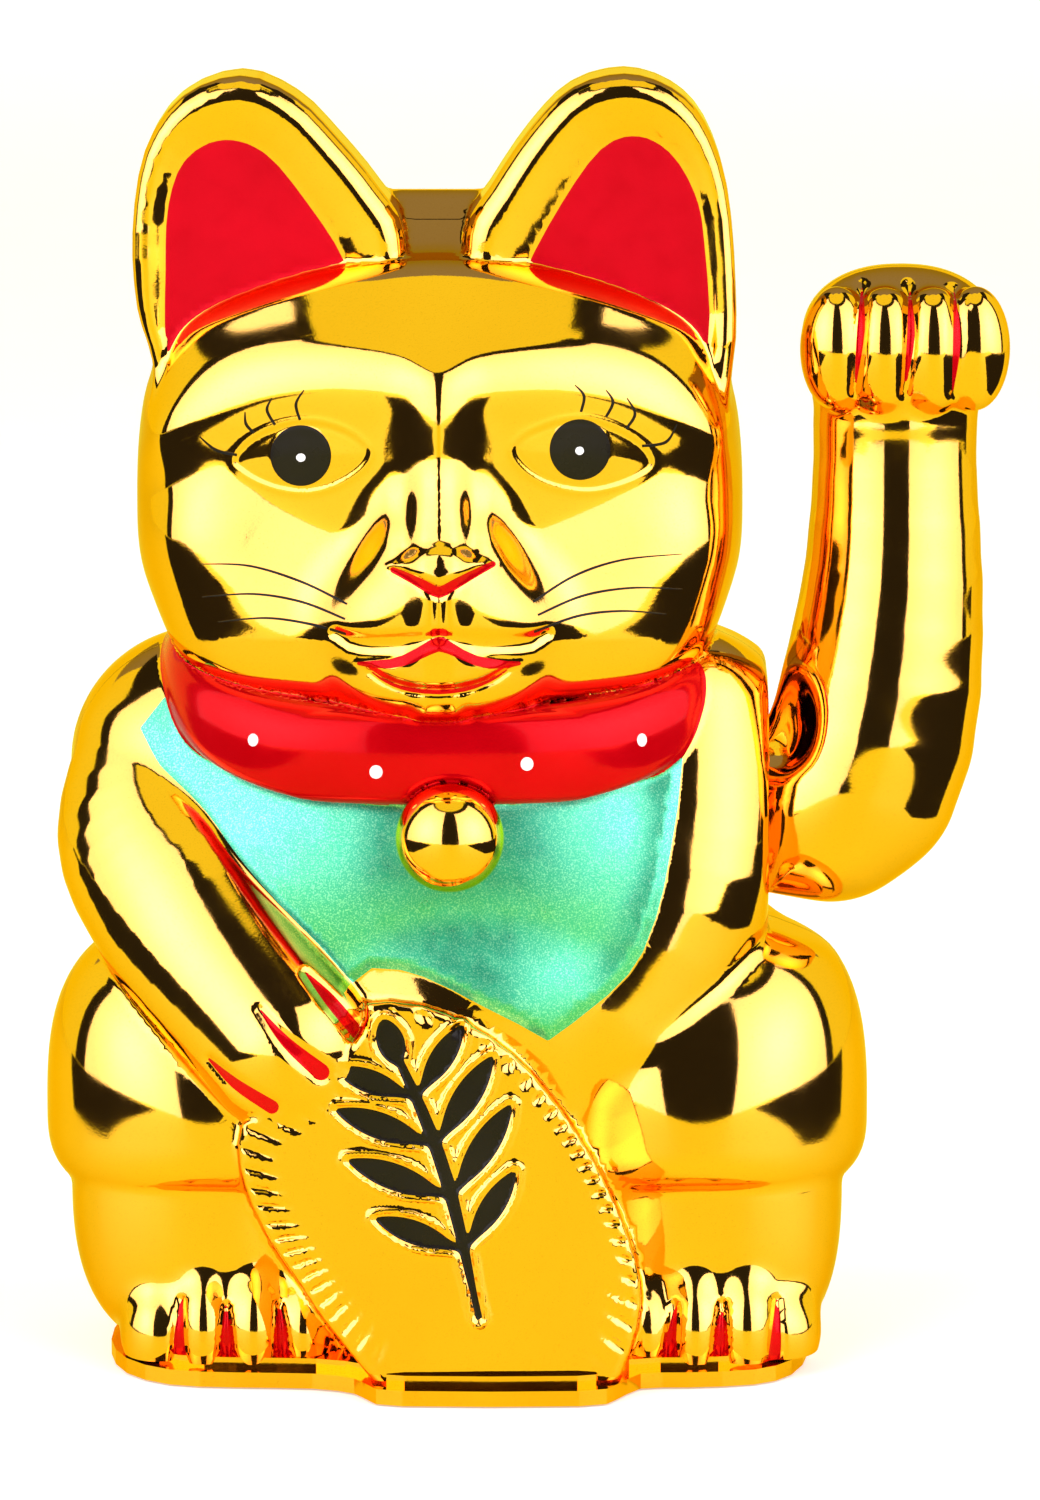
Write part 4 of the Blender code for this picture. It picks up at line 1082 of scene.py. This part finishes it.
def enamel(name, low, high, rough=0.18, coat=0.8, flake=None, metallic=0.0, spec=0.5, grain=5200):
    """Sprayed or padded paint, with an uneven film."""
    m, t, b = nodes_for(name)
    vec = place(t)
    col = ramp(t, noise(t, vec, 46, 3), [(0.3, low), (0.7, high)])
    if flake:
        f = noise(t, vec, grain, 1.5, 0.55)
        mask = ramp(t, f, [(0.48, (0, 0, 0)), (0.68, (1, 1, 1))])
        mix = add(t, "ShaderNodeMix", data_type="RGBA")
        t.links.new(mask, mix.inputs[0])
        t.links.new(col, mix.inputs[6])
        mix.inputs[7].default_value = (*flake, 1)
        col = mix.outputs[2]
    t.links.new(col, b.inputs["Base Color"])
    b.inputs["Metallic"].default_value = metallic
    b.inputs["Specular IOR Level"].default_value = spec
    t.links.new(to_range(t, noise(t, vec, 260, 3), rough * 0.8, rough * 1.25, 0.3, 0.7), b.inputs["Roughness"])
    b.inputs["Coat Weight"].default_value = coat
    b.inputs["Coat Roughness"].default_value = 0.06 if rough < 0.27 else 0.22
    bump(t, b, [(noise(t, vec, 160, 2), 0.00005), (noise(t, vec, 2200, 2), 0.000005)])
    return m


GOLD = chrome("gold_lacquer_chrome", (0.97, 0.52, 0.105), (1.0, 0.56, 0.125))
GOLD_BASE = chrome("gold_lacquer_base", (0.90, 0.47, 0.060), (0.98, 0.53, 0.085), rough=(0.07, 0.14), waves=0.00008)
RED = enamel("red_enamel", (0.54, 0.0004, 0.003), (0.66, 0.0008, 0.006), rough=0.16, coat=0.10, metallic=0.40, spec=0.05)
EAR_RED = enamel("red_ear_paint", (0.52, 0.0004, 0.008), (0.63, 0.0008, 0.012), rough=0.50, coat=0.03, metallic=0.35, spec=0.08)
TEAL = enamel("teal_pearl_paint", (0.022, 0.50, 0.27), (0.042, 0.57, 0.32), rough=0.33, coat=0.6, flake=(0.24, 0.80, 0.48), metallic=0.70, spec=0.8, grain=4400)
INK = enamel("charcoal_ink", (0.0070, 0.0050, 0.0036), (0.012, 0.0090, 0.0065), rough=0.30, coat=0.04, spec=0.16)
WHITE = enamel("white_dot_paint", (0.80, 0.78, 0.72), (0.90, 0.88, 0.84), rough=0.35, coat=0.2)
SHELL_MATS = [GOLD, RED, EAR_RED, TEAL, INK, WHITE]
M_GOLD, M_RED, M_EAR, M_TEAL, M_INK, M_WHITE = range(6)


# ======================================================================================
# Shells, painted and cut
# ======================================================================================
def on_sheet(shape, lo=None, hi=None, y_most=-4.0):
    """A paint function from one drawn on the sheet, kept to the front and between two heights."""
    fn, (u0, u1, v0, v1) = shape

    def value(p):
        u, v = sheet(p)
        out = np.full(len(p), 50.0)
        near = (u > u0 - 12) & (u < u1 + 12) & (v > v0 - 12) & (v < v1 + 12) & (p[:, 1] < y_most + 3)
        q = p[near]
        d = np.maximum(fn(u[near], v[near]) / UNIT, q[:, 1] - y_most)
        if lo is not None:
            d = np.maximum(d, lo - q[:, 2])
        if hi is not None:
            d = np.maximum(d, q[:, 2] - hi)
        out[near] = d
        return out
    return value


def extent(points, pad=0.0):
    a = np.array(points, float)
    return a[:, 0].min() - pad, a[:, 0].max() + pad, a[:, 1].min() - pad, a[:, 1].max() + pad


def area(points):
    return (lambda u, v: poly(u, v, points)), extent(points)


def line(points, widths):
    return (lambda u, v: stroke(u, v, points, widths)), extent(points, max(widths))


def disc(cx, cy, rx, ry):
    return (lambda u, v: oval(u, v, cx, cy, rx, ry)), (cx - rx, cx + rx, cy - ry, cy + ry)


def smooth_lines(lines, widths):
    made = [wide(pts, w, 4) for pts, w in zip(lines, widths)]

    def fn(u, v):
        return np.minimum.reduce([stroke(u, v, c, w) for c, w in made])
    return fn, extent([q for c, _ in made for q in c], max(max(w) for _, w in made))


def who(name, others, near=None):
    """Negative where the named form is the nearest one."""
    def value(p):
        out = np.full(len(p), 20.0)
        k = np.ones(len(p), bool) if near is None else near(p)
        q = p[k]

        def diff(r):
            m = members(r)
            return m[name] - np.minimum.reduce([m[o] for o in others])
        out[k] = evaluate(diff, q)
        return out
    return value


def both(*fns):
    return lambda p: np.maximum.reduce([f(p) for f in fns])


def fine_edges(p):
    """The wanted edge length over the shell, millimetres."""
    x, y, z = p[:, 0], p[:, 1], p[:, 2]
    u, v = sheet(p)
    h = np.full(len(p), 1.5)
    front = y < -8
    ring_edge = front & (z > 86) & (z < 112) & (np.abs(ring(p)) < 2.0)
    h[ring_edge] = 0.75
    face = front & (np.abs(x + 1) < 36) & (z > 105) & (z < 157)
    h[face] = 0.78
    eyes = face & ((np.hypot(u - 301, v - 456) < 76) | (np.hypot(u - 580, v - 452) < 76) | ((np.abs(u - 440) < 112) & (v > 535) & (v < 700)))
    h[eyes] = 0.42
    h[front & (poly(u, v, COIN) < 6) & (z < 66) & (y < -30)] = 0.62
    h[front & (z < 18)] = 0.84
    h[(np.hypot(u - 448, v - 839) < 68) & front] = 0.5
    h[(np.abs(u - 280) < 90) & (v > 955) & (v < 1120) & front] = 0.6
    h[front & (z > 46) & (z < 112) & (np.abs(poly(u, v, BIB)) < 5)] = 0.6
    for cx, cy, rx, ry in CHEST_RED_DOTS:
        h[(np.hypot(u - cx, v - cy) < 13) & front] = 0.3
    return h


def shell():
    h = 1.15
    v, t = nets(figure, (-68, -51, -2), (70, 44, 204), h)
    v, _ = settle(figure, v, 2)
    t1 = time.time()
    v, t = refine(figure, v, t, fine_edges, 2)
    v, _ = settle(figure, v, 1)
    print("shell", len(v), len(t), round(time.time() - T0, 1), "refined in", round(time.time() - t1, 1))
    return Sculpt(figure, v, t)


def paint_shell(s):
    # the bib
    s.paint(both(on_sheet(area(BIB), 50, 112, 4.0), who("torso", ["legs", "arm", "coin", "ring", "bell"], lambda p: (p[:, 1] < 6) & (p[:, 2] > 46) & (p[:, 2] < 114))), M_TEAL)
    # the ears
    inner = lambda p: np.maximum(EAR_IN(p[:, 0], p[:, 2]) + 0.10, np.maximum(p[:, 1] + 5.0, 148 - p[:, 2]))
    s.paint(both(inner, who("ears", ["head"], lambda p: (p[:, 2] > 146) & (p[:, 1] < 0))), M_EAR)
    # the collar
    s.paint(who("ring", ["torso", "head", "bell", "arm"], lambda p: (p[:, 2] > 86) & (p[:, 2] < 122)), M_RED)
    for cx, cy, rx, ry in CHEST_RED_DOTS:
        s.paint(on_sheet(disc(cx, cy, rx, ry), 86, 112, -8), M_WHITE)
    # claws
    s.paint(both(on_sheet(smooth_lines(ARM_CLAWS, ARM_CLAW_W), 30, 70), who("arm", ["torso", "coin", "legs"], lambda p: (p[:, 0] < 0) & (p[:, 2] > 30) & (p[:, 2] < 72) & (p[:, 1] < 0))), M_RED)
    s.paint(on_sheet(smooth_lines(FOOT_CLAWS, [FOOT_CLAW_W] * 6), 0, 14, -10), M_RED)
    # the face
    f = lambda shape: on_sheet(shape, 103, 162, -14)
    s.paint(f(line(NOSE_RED, NOSE_RED_W)), M_RED)
    s.paint(f(area(MOUTH)), M_RED)
    s.paint(f(line(LIP_LOW, LIP_LOW_W)), M_RED)
    for (cx, cy, r), (dx, dy, rx, ry) in zip(PUPILS, DOTS):
        s.paint(f(disc(cx, cy, r, r)), M_INK)
        s.paint(f(disc(dx, dy, rx, ry)), M_WHITE)
    # the sprig on the coin
    s.paint(both(on_sheet((SPRIG_MAP, (280, 600, 1000, 1360)), 4, 62, -28), who("coin", ["arm", "torso"], lambda p: (p[:, 2] < 66) & (p[:, 1] < -24))), M_INK)


def ribbon(name, lines, widths, lift=0.035, sink=0.05, material=None):
    """Fine painted lines, laid on the face."""
    verts, faces = [], []
    for pts, ws in zip(lines, widths):
        c = curve(pts, 8)
        w = np.interp(np.linspace(0, 1, len(c)), np.linspace(0, 1, len(ws)), ws)
        c = np.array(c)
        tan = np.gradient(c, axis=0)
        tan /= np.linalg.norm(tan, axis=1)[:, None]
        nor = np.stack([-tan[:, 1], tan[:, 0]], 1)
        rows = []
        for k in (-1, 0, 1):
            q = c + nor * (w * k)[:, None]
            d = sheet_ray(q[:, 0], q[:, 1])
            t = np.full(len(q), AWAY - 60.0)
            for _ in range(40):
                t = t + evaluate(figure, EYE + d * t[:, None]) * 0.9
            p, n = settle(figure, EYE + d * t[:, None], 1)
            rows.append((p + n * lift, p - n * sink))
        base = len(verts)
        m = len(c)
        for top, under in rows:
            verts += list(top)
        for top, under in (rows[2], rows[0]):
            verts += list(under)
        idx = lambda r, i: base + r * m + i
        ring_of = [0, 1, 2, 3, 4]
        for i in range(m - 1):
            for a, b in zip(ring_of, ring_of[1:] + ring_of[:1]):
                faces.append((idx(a, i), idx(b, i), idx(b, i + 1), idx(a, i + 1)))
        faces.append(tuple(idx(r, 0) for r in reversed(ring_of)))
        faces.append(tuple(idx(r, m - 1) for r in ring_of))
    me = bpy.data.meshes.new(name)
    me.from_pydata([tuple(q * 0.001) for q in verts], [], faces)
    me.materials.append(material or INK)
    me.validate()
    ob = bpy.data.objects.new(name, me)
    bpy.context.scene.collection.objects.link(ob)
    import bmesh
    bm = bmesh.new()
    bm.from_mesh(me)
    bmesh.ops.recalc_face_normals(bm, faces=bm.faces)
    bm.to_mesh(me)
    bm.free()
    return ob


s = shell()
paint_shell(s)
print("painted", len(s.t), round(time.time() - T0, 1))
s.keep(lambda p: FOOT - p[:, 2])


def half(s, sign):
    q = Sculpt(s.fn, s.v.copy(), s.t.copy())
    q.mat = s.mat.copy()
    q.keep((lambda p: p[:, 1] + SEAM) if sign < 0 else (lambda p: SEAM - p[:, 1]))
    return q


front, rear = half(s, -1), half(s, 1)
print("front", len(front.t), "rear", len(rear.t), round(time.time() - T0, 1))
SPLIT_Z = 103.0


def two(q, z):
    up, down = Sculpt(q.fn, q.v.copy(), q.t.copy()), Sculpt(q.fn, q.v.copy(), q.t.copy())
    up.mat, down.mat = q.mat.copy(), q.mat.copy()
    return up, down


front_ob = build("front_shell_skin", front, SHELL_MATS, rim=2.2)
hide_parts("front_shell")
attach(front_ob, "body")
rear_ob = build("rear_shell_skin", rear, SHELL_MATS, rim=2.2)
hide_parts("rear_shell")
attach(rear_ob, "body")

# ---- the raised arm -----------------------------------------------------------------------
h = 0.9
v, t = nets(raised, (44, -20, 64), (89, 20, 174), h)
v, _ = settle(raised, v, 2)
v, t = refine(raised, v, t, lambda p: np.where((p[:, 2] > 144) & (p[:, 1] < 0), 0.5, 1.0), 1)
v, _ = settle(raised, v, 1)
a = Sculpt(raised, v, t)
a.paint(on_sheet(smooth_lines(PAW_CLAWS, [PAW_CLAW_W] * 3), 146, 172, -3), M_RED)
for nm, sign, node in (("raised_arm_front", -1, "arm_front_half"), ("raised_arm_rear", 1, "arm_rear_half")):
    q = half(a, sign)
    ob = build(nm, q, SHELL_MATS, rim=1.6)
    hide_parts(node)
    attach(ob, "arm")
    print(nm, len(q.t))
print("arm", round(time.time() - T0, 1))

# ---- lashes and whiskers ------------------------------------------------------------------
LASHES = [[(200, 437), (216, 450), (237, 455)], [(245, 412), (246, 424), (254, 433)], [(272, 398), (267, 410), (275, 425)], [(304, 390), (296, 404), (300, 420)],
          [(575, 385), (584, 396), (581, 412)], [(606, 390), (613, 402), (606, 417)], [(627, 398), (635, 414), (626, 429)], [(677, 424), (666, 442), (642, 446)]]
LASH_W = [[0.5, 1.5, 1.3]] * 8
WHISKERS = [[(202, 564), (250, 566), (302, 582), (347, 604)], [(202, 597), (254, 594), (302, 602), (345, 619)], [(218, 622), (266, 618), (310, 624), (346, 634)],
            [(682, 554), (622, 560), (574, 576), (533, 602)], [(682, 589), (630, 588), (582, 596), (538, 615)], [(666, 614), (622, 611), (578, 616), (534, 632)]]
WHISKER_W = [[0.4, 1.1, 1.4, 1.1]] * 6
for nm, lines, ws in (("eyelash_lines", LASHES, LASH_W), ("whisker_lines", WHISKERS, WHISKER_W)):
    ob = ribbon(nm, lines, ws)
    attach(ob, "body")
print("lines", round(time.time() - T0, 1))

# ---- carried-over CAD nodes ------------------------------------------------------------------
def metal(name, low, high, rough, scratch=0.000006, stretch=(1, 1, 1)):
    """Plated or drawn metal, with fine lines and a faint bloom."""
    m, t, b = nodes_for(name)
    vec = place(t, stretch)
    t.links.new(ramp(t, noise(t, vec, 90, 4), [(0.3, low), (0.7, high)]), b.inputs["Base Color"])
    b.inputs["Metallic"].default_value = 1.0
    t.links.new(to_range(t, noise(t, vec, 700, 3, 0.6), rough[0], rough[1], 0.3, 0.7), b.inputs["Roughness"])
    bump(t, b, [(noise(t, vec, 1800, 2), scratch), (noise(t, vec, 120, 2), 0.00002)])
    return m


def moulded(name, low, high, rough, coat=0.0, texture=0.00001, tile=900):
    """Moulded plastic or a sleeve, with the tool's fine texture."""
    m, t, b = nodes_for(name)
    vec = place(t)
    t.links.new(ramp(t, noise(t, vec, 60, 4), [(0.3, low), (0.7, high)]), b.inputs["Base Color"])
    t.links.new(to_range(t, noise(t, vec, 300, 3), rough[0], rough[1], 0.3, 0.7), b.inputs["Roughness"])
    b.inputs["Specular IOR Level"].default_value = 0.45
    b.inputs["Coat Weight"].default_value = coat
    bump(t, b, [(noise(t, vec, tile, 2), texture), (noise(t, vec, 80, 2), 0.00003)])
    return m


STEEL = metal("zinc_plated_steel", (0.50, 0.50, 0.52), (0.62, 0.62, 0.64), (0.24, 0.36))
NICKEL = metal("nickel_strip", (0.56, 0.51, 0.43), (0.68, 0.63, 0.54), (0.18, 0.30), stretch=(1, 1, 6))
MAGNET = metal("plated_magnet", (0.42, 0.42, 0.44), (0.55, 0.55, 0.57), (0.12, 0.22))
WHITE_PLASTIC = moulded("white_moulding", (0.66, 0.64, 0.58), (0.74, 0.73, 0.68), (0.42, 0.55))
BLACK_PLASTIC = moulded("black_moulding", (0.012, 0.012, 0.012), (0.024, 0.024, 0.024), (0.38, 0.5), texture=0.00002)
JACKET = moulded("cell_jacket", (0.010, 0.026, 0.10), (0.016, 0.040, 0.14), (0.22, 0.3), coat=0.5)
RED_SLEEVE = moulded("red_sleeve", (0.42, 0.006, 0.006), (0.55, 0.010, 0.010), (0.4, 0.5))
BLACK_SLEEVE = moulded("black_sleeve", (0.009, 0.009, 0.009), (0.018, 0.018, 0.018), (0.42, 0.52))
BOARD = moulded("phenolic_board", (0.20, 0.085, 0.020), (0.32, 0.14, 0.035), (0.45, 0.6), tile=2200)

# wound wire: fine rings along the coil under a bloom of lacquer
COPPER, t, b = nodes_for("wound_copper")
vec = place(t)
turns = add(t, "ShaderNodeTexWave")
turns.bands_direction = "Z"
turns.inputs["Scale"].default_value = 900
turns.inputs["Distortion"].default_value = 0.6
t.links.new(vec, turns.inputs["Vector"])
t.links.new(ramp(t, turns.outputs["Fac"], [(0.15, (0.30, 0.070, 0.018)), (0.7, (0.66, 0.22, 0.070))]), b.inputs["Base Color"])
b.inputs["Metallic"].default_value = 0.9
t.links.new(to_range(t, noise(t, vec, 400, 2), 0.26, 0.36, 0.3, 0.7), b.inputs["Roughness"])
bump(t, b, [(turns.outputs["Fac"], 0.00004)])

CAD_LOOKS = {
    "base_plate": GOLD_BASE, "battery_door": GOLD_BASE, "arm_socket": WHITE_PLASTIC, "arm_spigot": WHITE_PLASTIC, "pivot_pin": STEEL, "pin_retainer": STEEL,
    "pendulum_lever": WHITE_PLASTIC, "pendulum_magnet": MAGNET, "pendulum_weight_left": STEEL, "pendulum_weight_right": STEEL,
    "mechanism_frame": WHITE_PLASTIC, "circuit_board": BOARD, "coil_bobbin": WHITE_PLASTIC, "drive_coil": COPPER, "drive_transistor": BLACK_PLASTIC,
    "timing_capacitor": JACKET, "start_resistor": BOARD, "battery_cell": JACKET, "battery_spring": NICKEL, "battery_plus_contact": NICKEL, "battery_minus_contact": NICKEL,
    "power_switch_body": STEEL, "power_switch_knob": BLACK_PLASTIC, "battery_lead_red": RED_SLEEVE, "battery_lead_black": BLACK_SLEEVE, "switch_lead_black": BLACK_SLEEVE,
}
for name, node in NODES.items():
    look = CAD_LOOKS.get(name, STEEL if "screw" in name else None)
    if look is not None:
        node.data.materials.clear()
        node.data.materials.append(look)
    elif name not in ("front_shell", "rear_shell", "arm_front_half", "arm_rear_half"):
        print("no look for", name)

# ======================================================================================
# Studio
# ======================================================================================
def plain(name, colour, emit=0.0, rough=0.6):
    m, t, b = nodes_for(name)
    b.inputs["Base Color"].default_value = (*colour, 1)
    b.inputs["Roughness"].default_value = rough
    b.inputs["Specular IOR Level"].default_value = 0.1
    b.inputs["Emission Color"].default_value = (*colour, 1)
    b.inputs["Emission Strength"].default_value = emit
    return m


def glow(name, strength, colour=(1, 1, 1)):
    m = bpy.data.materials.new(name)
    m.use_nodes = True
    t = m.node_tree
    t.nodes.clear()
    out, e = add(t, "ShaderNodeOutputMaterial"), add(t, "ShaderNodeEmission")
    e.inputs["Color"].default_value = (*colour, 1)
    e.inputs["Strength"].default_value = strength
    t.links.new(e.outputs[0], out.inputs["Surface"])
    return m, t, e


HUB = Vector((0.0, 0.0, 0.095))


def dome_patch(name, az, el, radius, material, n=24):
    """Part of a sphere round the figure. Azimuth 0 is in front of the face, growing towards the raised arm."""
    vs, fs = [], []
    for j in range(n + 1):
        e = math.radians(el[0] + (el[1] - el[0]) * j / n)
        for i in range(n + 1):
            a = math.radians(az[0] + (az[1] - az[0]) * i / n)
            vs.append(HUB + Vector((math.cos(e) * math.sin(a), -math.cos(e) * math.cos(a), math.sin(e))) * radius)
    for j in range(n):
        for i in range(n):
            k = j * (n + 1) + i
            fs.append((k, k + 1, k + n + 2, k + n + 1))
    me = bpy.data.meshes.new(name)
    me.from_pydata(vs, [], fs)
    me.materials.append(material)
    ob = bpy.data.objects.new(name, me)
    bpy.context.scene.collection.objects.link(ob)
    ob.visible_camera = False
    ob.visible_shadow = True
    return ob


def softbox(name, az, el, edge, centre, hot):
    """A lit panel, brighter towards its lamp."""
    m, t, e = glow(name, 1.0, (1.0, 0.97, 1.06))
    c = add(t, "ShaderNodeTexCoord")
    a, l = math.radians(hot[0]), math.radians(hot[1])
    spot = HUB + Vector((math.cos(l) * math.sin(a), -math.cos(l) * math.cos(a), math.sin(l))) * 2.0
    d = add(t, "ShaderNodeVectorMath", operation="DISTANCE")
    d.inputs[1].default_value = spot
    t.links.new(c.outputs["Object"], d.inputs[0])
    s = add(t, "ShaderNodeMapRange")
    s.interpolation_type = "SMOOTHSTEP"
    for k, v in zip(("From Min", "From Max", "To Min", "To Max"), (0.0, 1.5, centre, edge)):
        s.inputs[k].default_value = v
    t.links.new(d.outputs["Value"], s.inputs["Value"])
    t.links.new(s.outputs["Result"], e.inputs["Strength"])
    return dome_patch(name, az, el, 2.0, m)


black, _, _ = glow("black_flag", 0.022, (1.0, 0.9, 0.8))
grey, _, _ = glow("grey_ceiling", 0.30, (1.0, 0.95, 0.9))
dome_patch("flag_front", (-112, 106), (-30, 67), 2.3, black)
dome_patch("flag_left", (-150, -112), (38, 64), 2.3, black, 8)
dome_patch("flag_right", (106, 142), (48, 64), 2.3, black, 8)
dome_patch("ceiling_rear", (140, 220), (22, 76), 2.35, grey, 24)
softbox("softbox_left", (-100, -16), (-4, 64), 1.8, 3.9, (-53, 22))
softbox("softbox_right", (19, 98), (-5, 60), 1.8, 3.9, (56, 22))


def floor_flag(name, corners):
    """A black card on the table beside the figure, there only to be mirrored in it."""
    me = bpy.data.meshes.new(name)
    me.from_pydata([(x * 0.001, y * 0.001, 0.0004) for x, y in corners], [], [tuple(range(len(corners)))])
    me.materials.append(black)
    ob = bpy.data.objects.new(name, me)
    bpy.context.scene.collection.objects.link(ob)
    ob.visible_camera = ob.visible_diffuse = ob.visible_shadow = ob.visible_transmission = False


floor_flag("card_left", [(-520, -700), (-300, -260), (-215, -60), (-240, 60), (-1200, 600), (-1250, -700)])
floor_flag("card_right", [(520, -700), (290, -250), (205, -60), (230, 60), (1200, 600), (1250, -700)])

floor_mat, t, b = nodes_for("pale_table")
vec = place(t)
# painted reflection: rays mirrored off the figure see the table in a yellow colour and glow instead of its pale white,
# which tints the gold wherever the table shows in it
mirrored = add(t, "ShaderNodeLightPath").outputs["Is Glossy Ray"]
for socket, plain_side, painted_reflection_tint in (("Base Color", ramp(t, noise(t, vec, 30, 3), [(0.3, (0.90, 0.90, 0.895)), (0.7, (0.93, 0.93, 0.925))]), (0.68, 0.66, 0.030, 1)),
                                 ("Emission Color", ramp(t, noise(t, vec, 30, 3), [(0.3, (1, 1, 1)), (0.7, (0.99, 0.99, 0.99))]), (0.84, 0.80, 0.030, 1))):
    swap = add(t, "ShaderNodeMix", data_type="RGBA")
    t.links.new(mirrored, swap.inputs[0])
    t.links.new(plain_side, swap.inputs[6])
    swap.inputs[7].default_value = painted_reflection_tint
    t.links.new(swap.outputs[2], b.inputs[socket])
b.inputs["Roughness"].default_value = 0.55
b.inputs["Specular IOR Level"].default_value = 0.2
b.inputs["Emission Strength"].default_value = 0.29
me = bpy.data.meshes.new("table_top")
me.from_pydata([(-1.3, -1.25, -0.0003), (1.3, -1.25, -0.0003), (1.3, 3.5, -0.0003), (-1.3, 3.5, -0.0003)], [], [(0, 1, 2, 3)])
me.materials.append(floor_mat)
floor = bpy.data.objects.new("table_top", me)
bpy.context.scene.collection.objects.link(floor)

world = bpy.data.worlds.new("white_room")
bpy.context.scene.world = world
world.use_nodes = True
wt = world.node_tree
path = add(wt, "ShaderNodeLightPath")
# white as a backdrop and as light, and a warmer room where it is mirrored
tint = add(wt, "ShaderNodeMix", data_type="RGBA")
tint.inputs[6].default_value = (1, 1, 1, 1)
tint.inputs[7].default_value = (0.98, 0.98, 0.085, 1)
wt.links.new(path.outputs["Is Glossy Ray"], tint.inputs[0])
wt.links.new(tint.outputs[2], wt.nodes["Background"].inputs["Color"])
world.node_tree.nodes["Background"].inputs["Strength"].default_value = 1.0

scene = bpy.context.scene
scene.view_settings.view_transform = "Standard"
scene.view_settings.look = "None"

cam = bpy.data.cameras.new("camera")
cam.sensor_fit = "AUTO"
cam.sensor_width = 36.0
cam.lens = 36.0 * AWAY / (1500 / UNIT)
cam.clip_start, cam.clip_end = 0.05, 20
camera = bpy.data.objects.new("camera", cam)
scene.collection.objects.link(camera)
camera.location = Vector(EYE) * 0.001
camera.rotation_euler = (math.radians(80), 0, 0)
scene.camera = camera

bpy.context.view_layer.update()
print("scene made in", round(time.time() - T0, 1), "s")
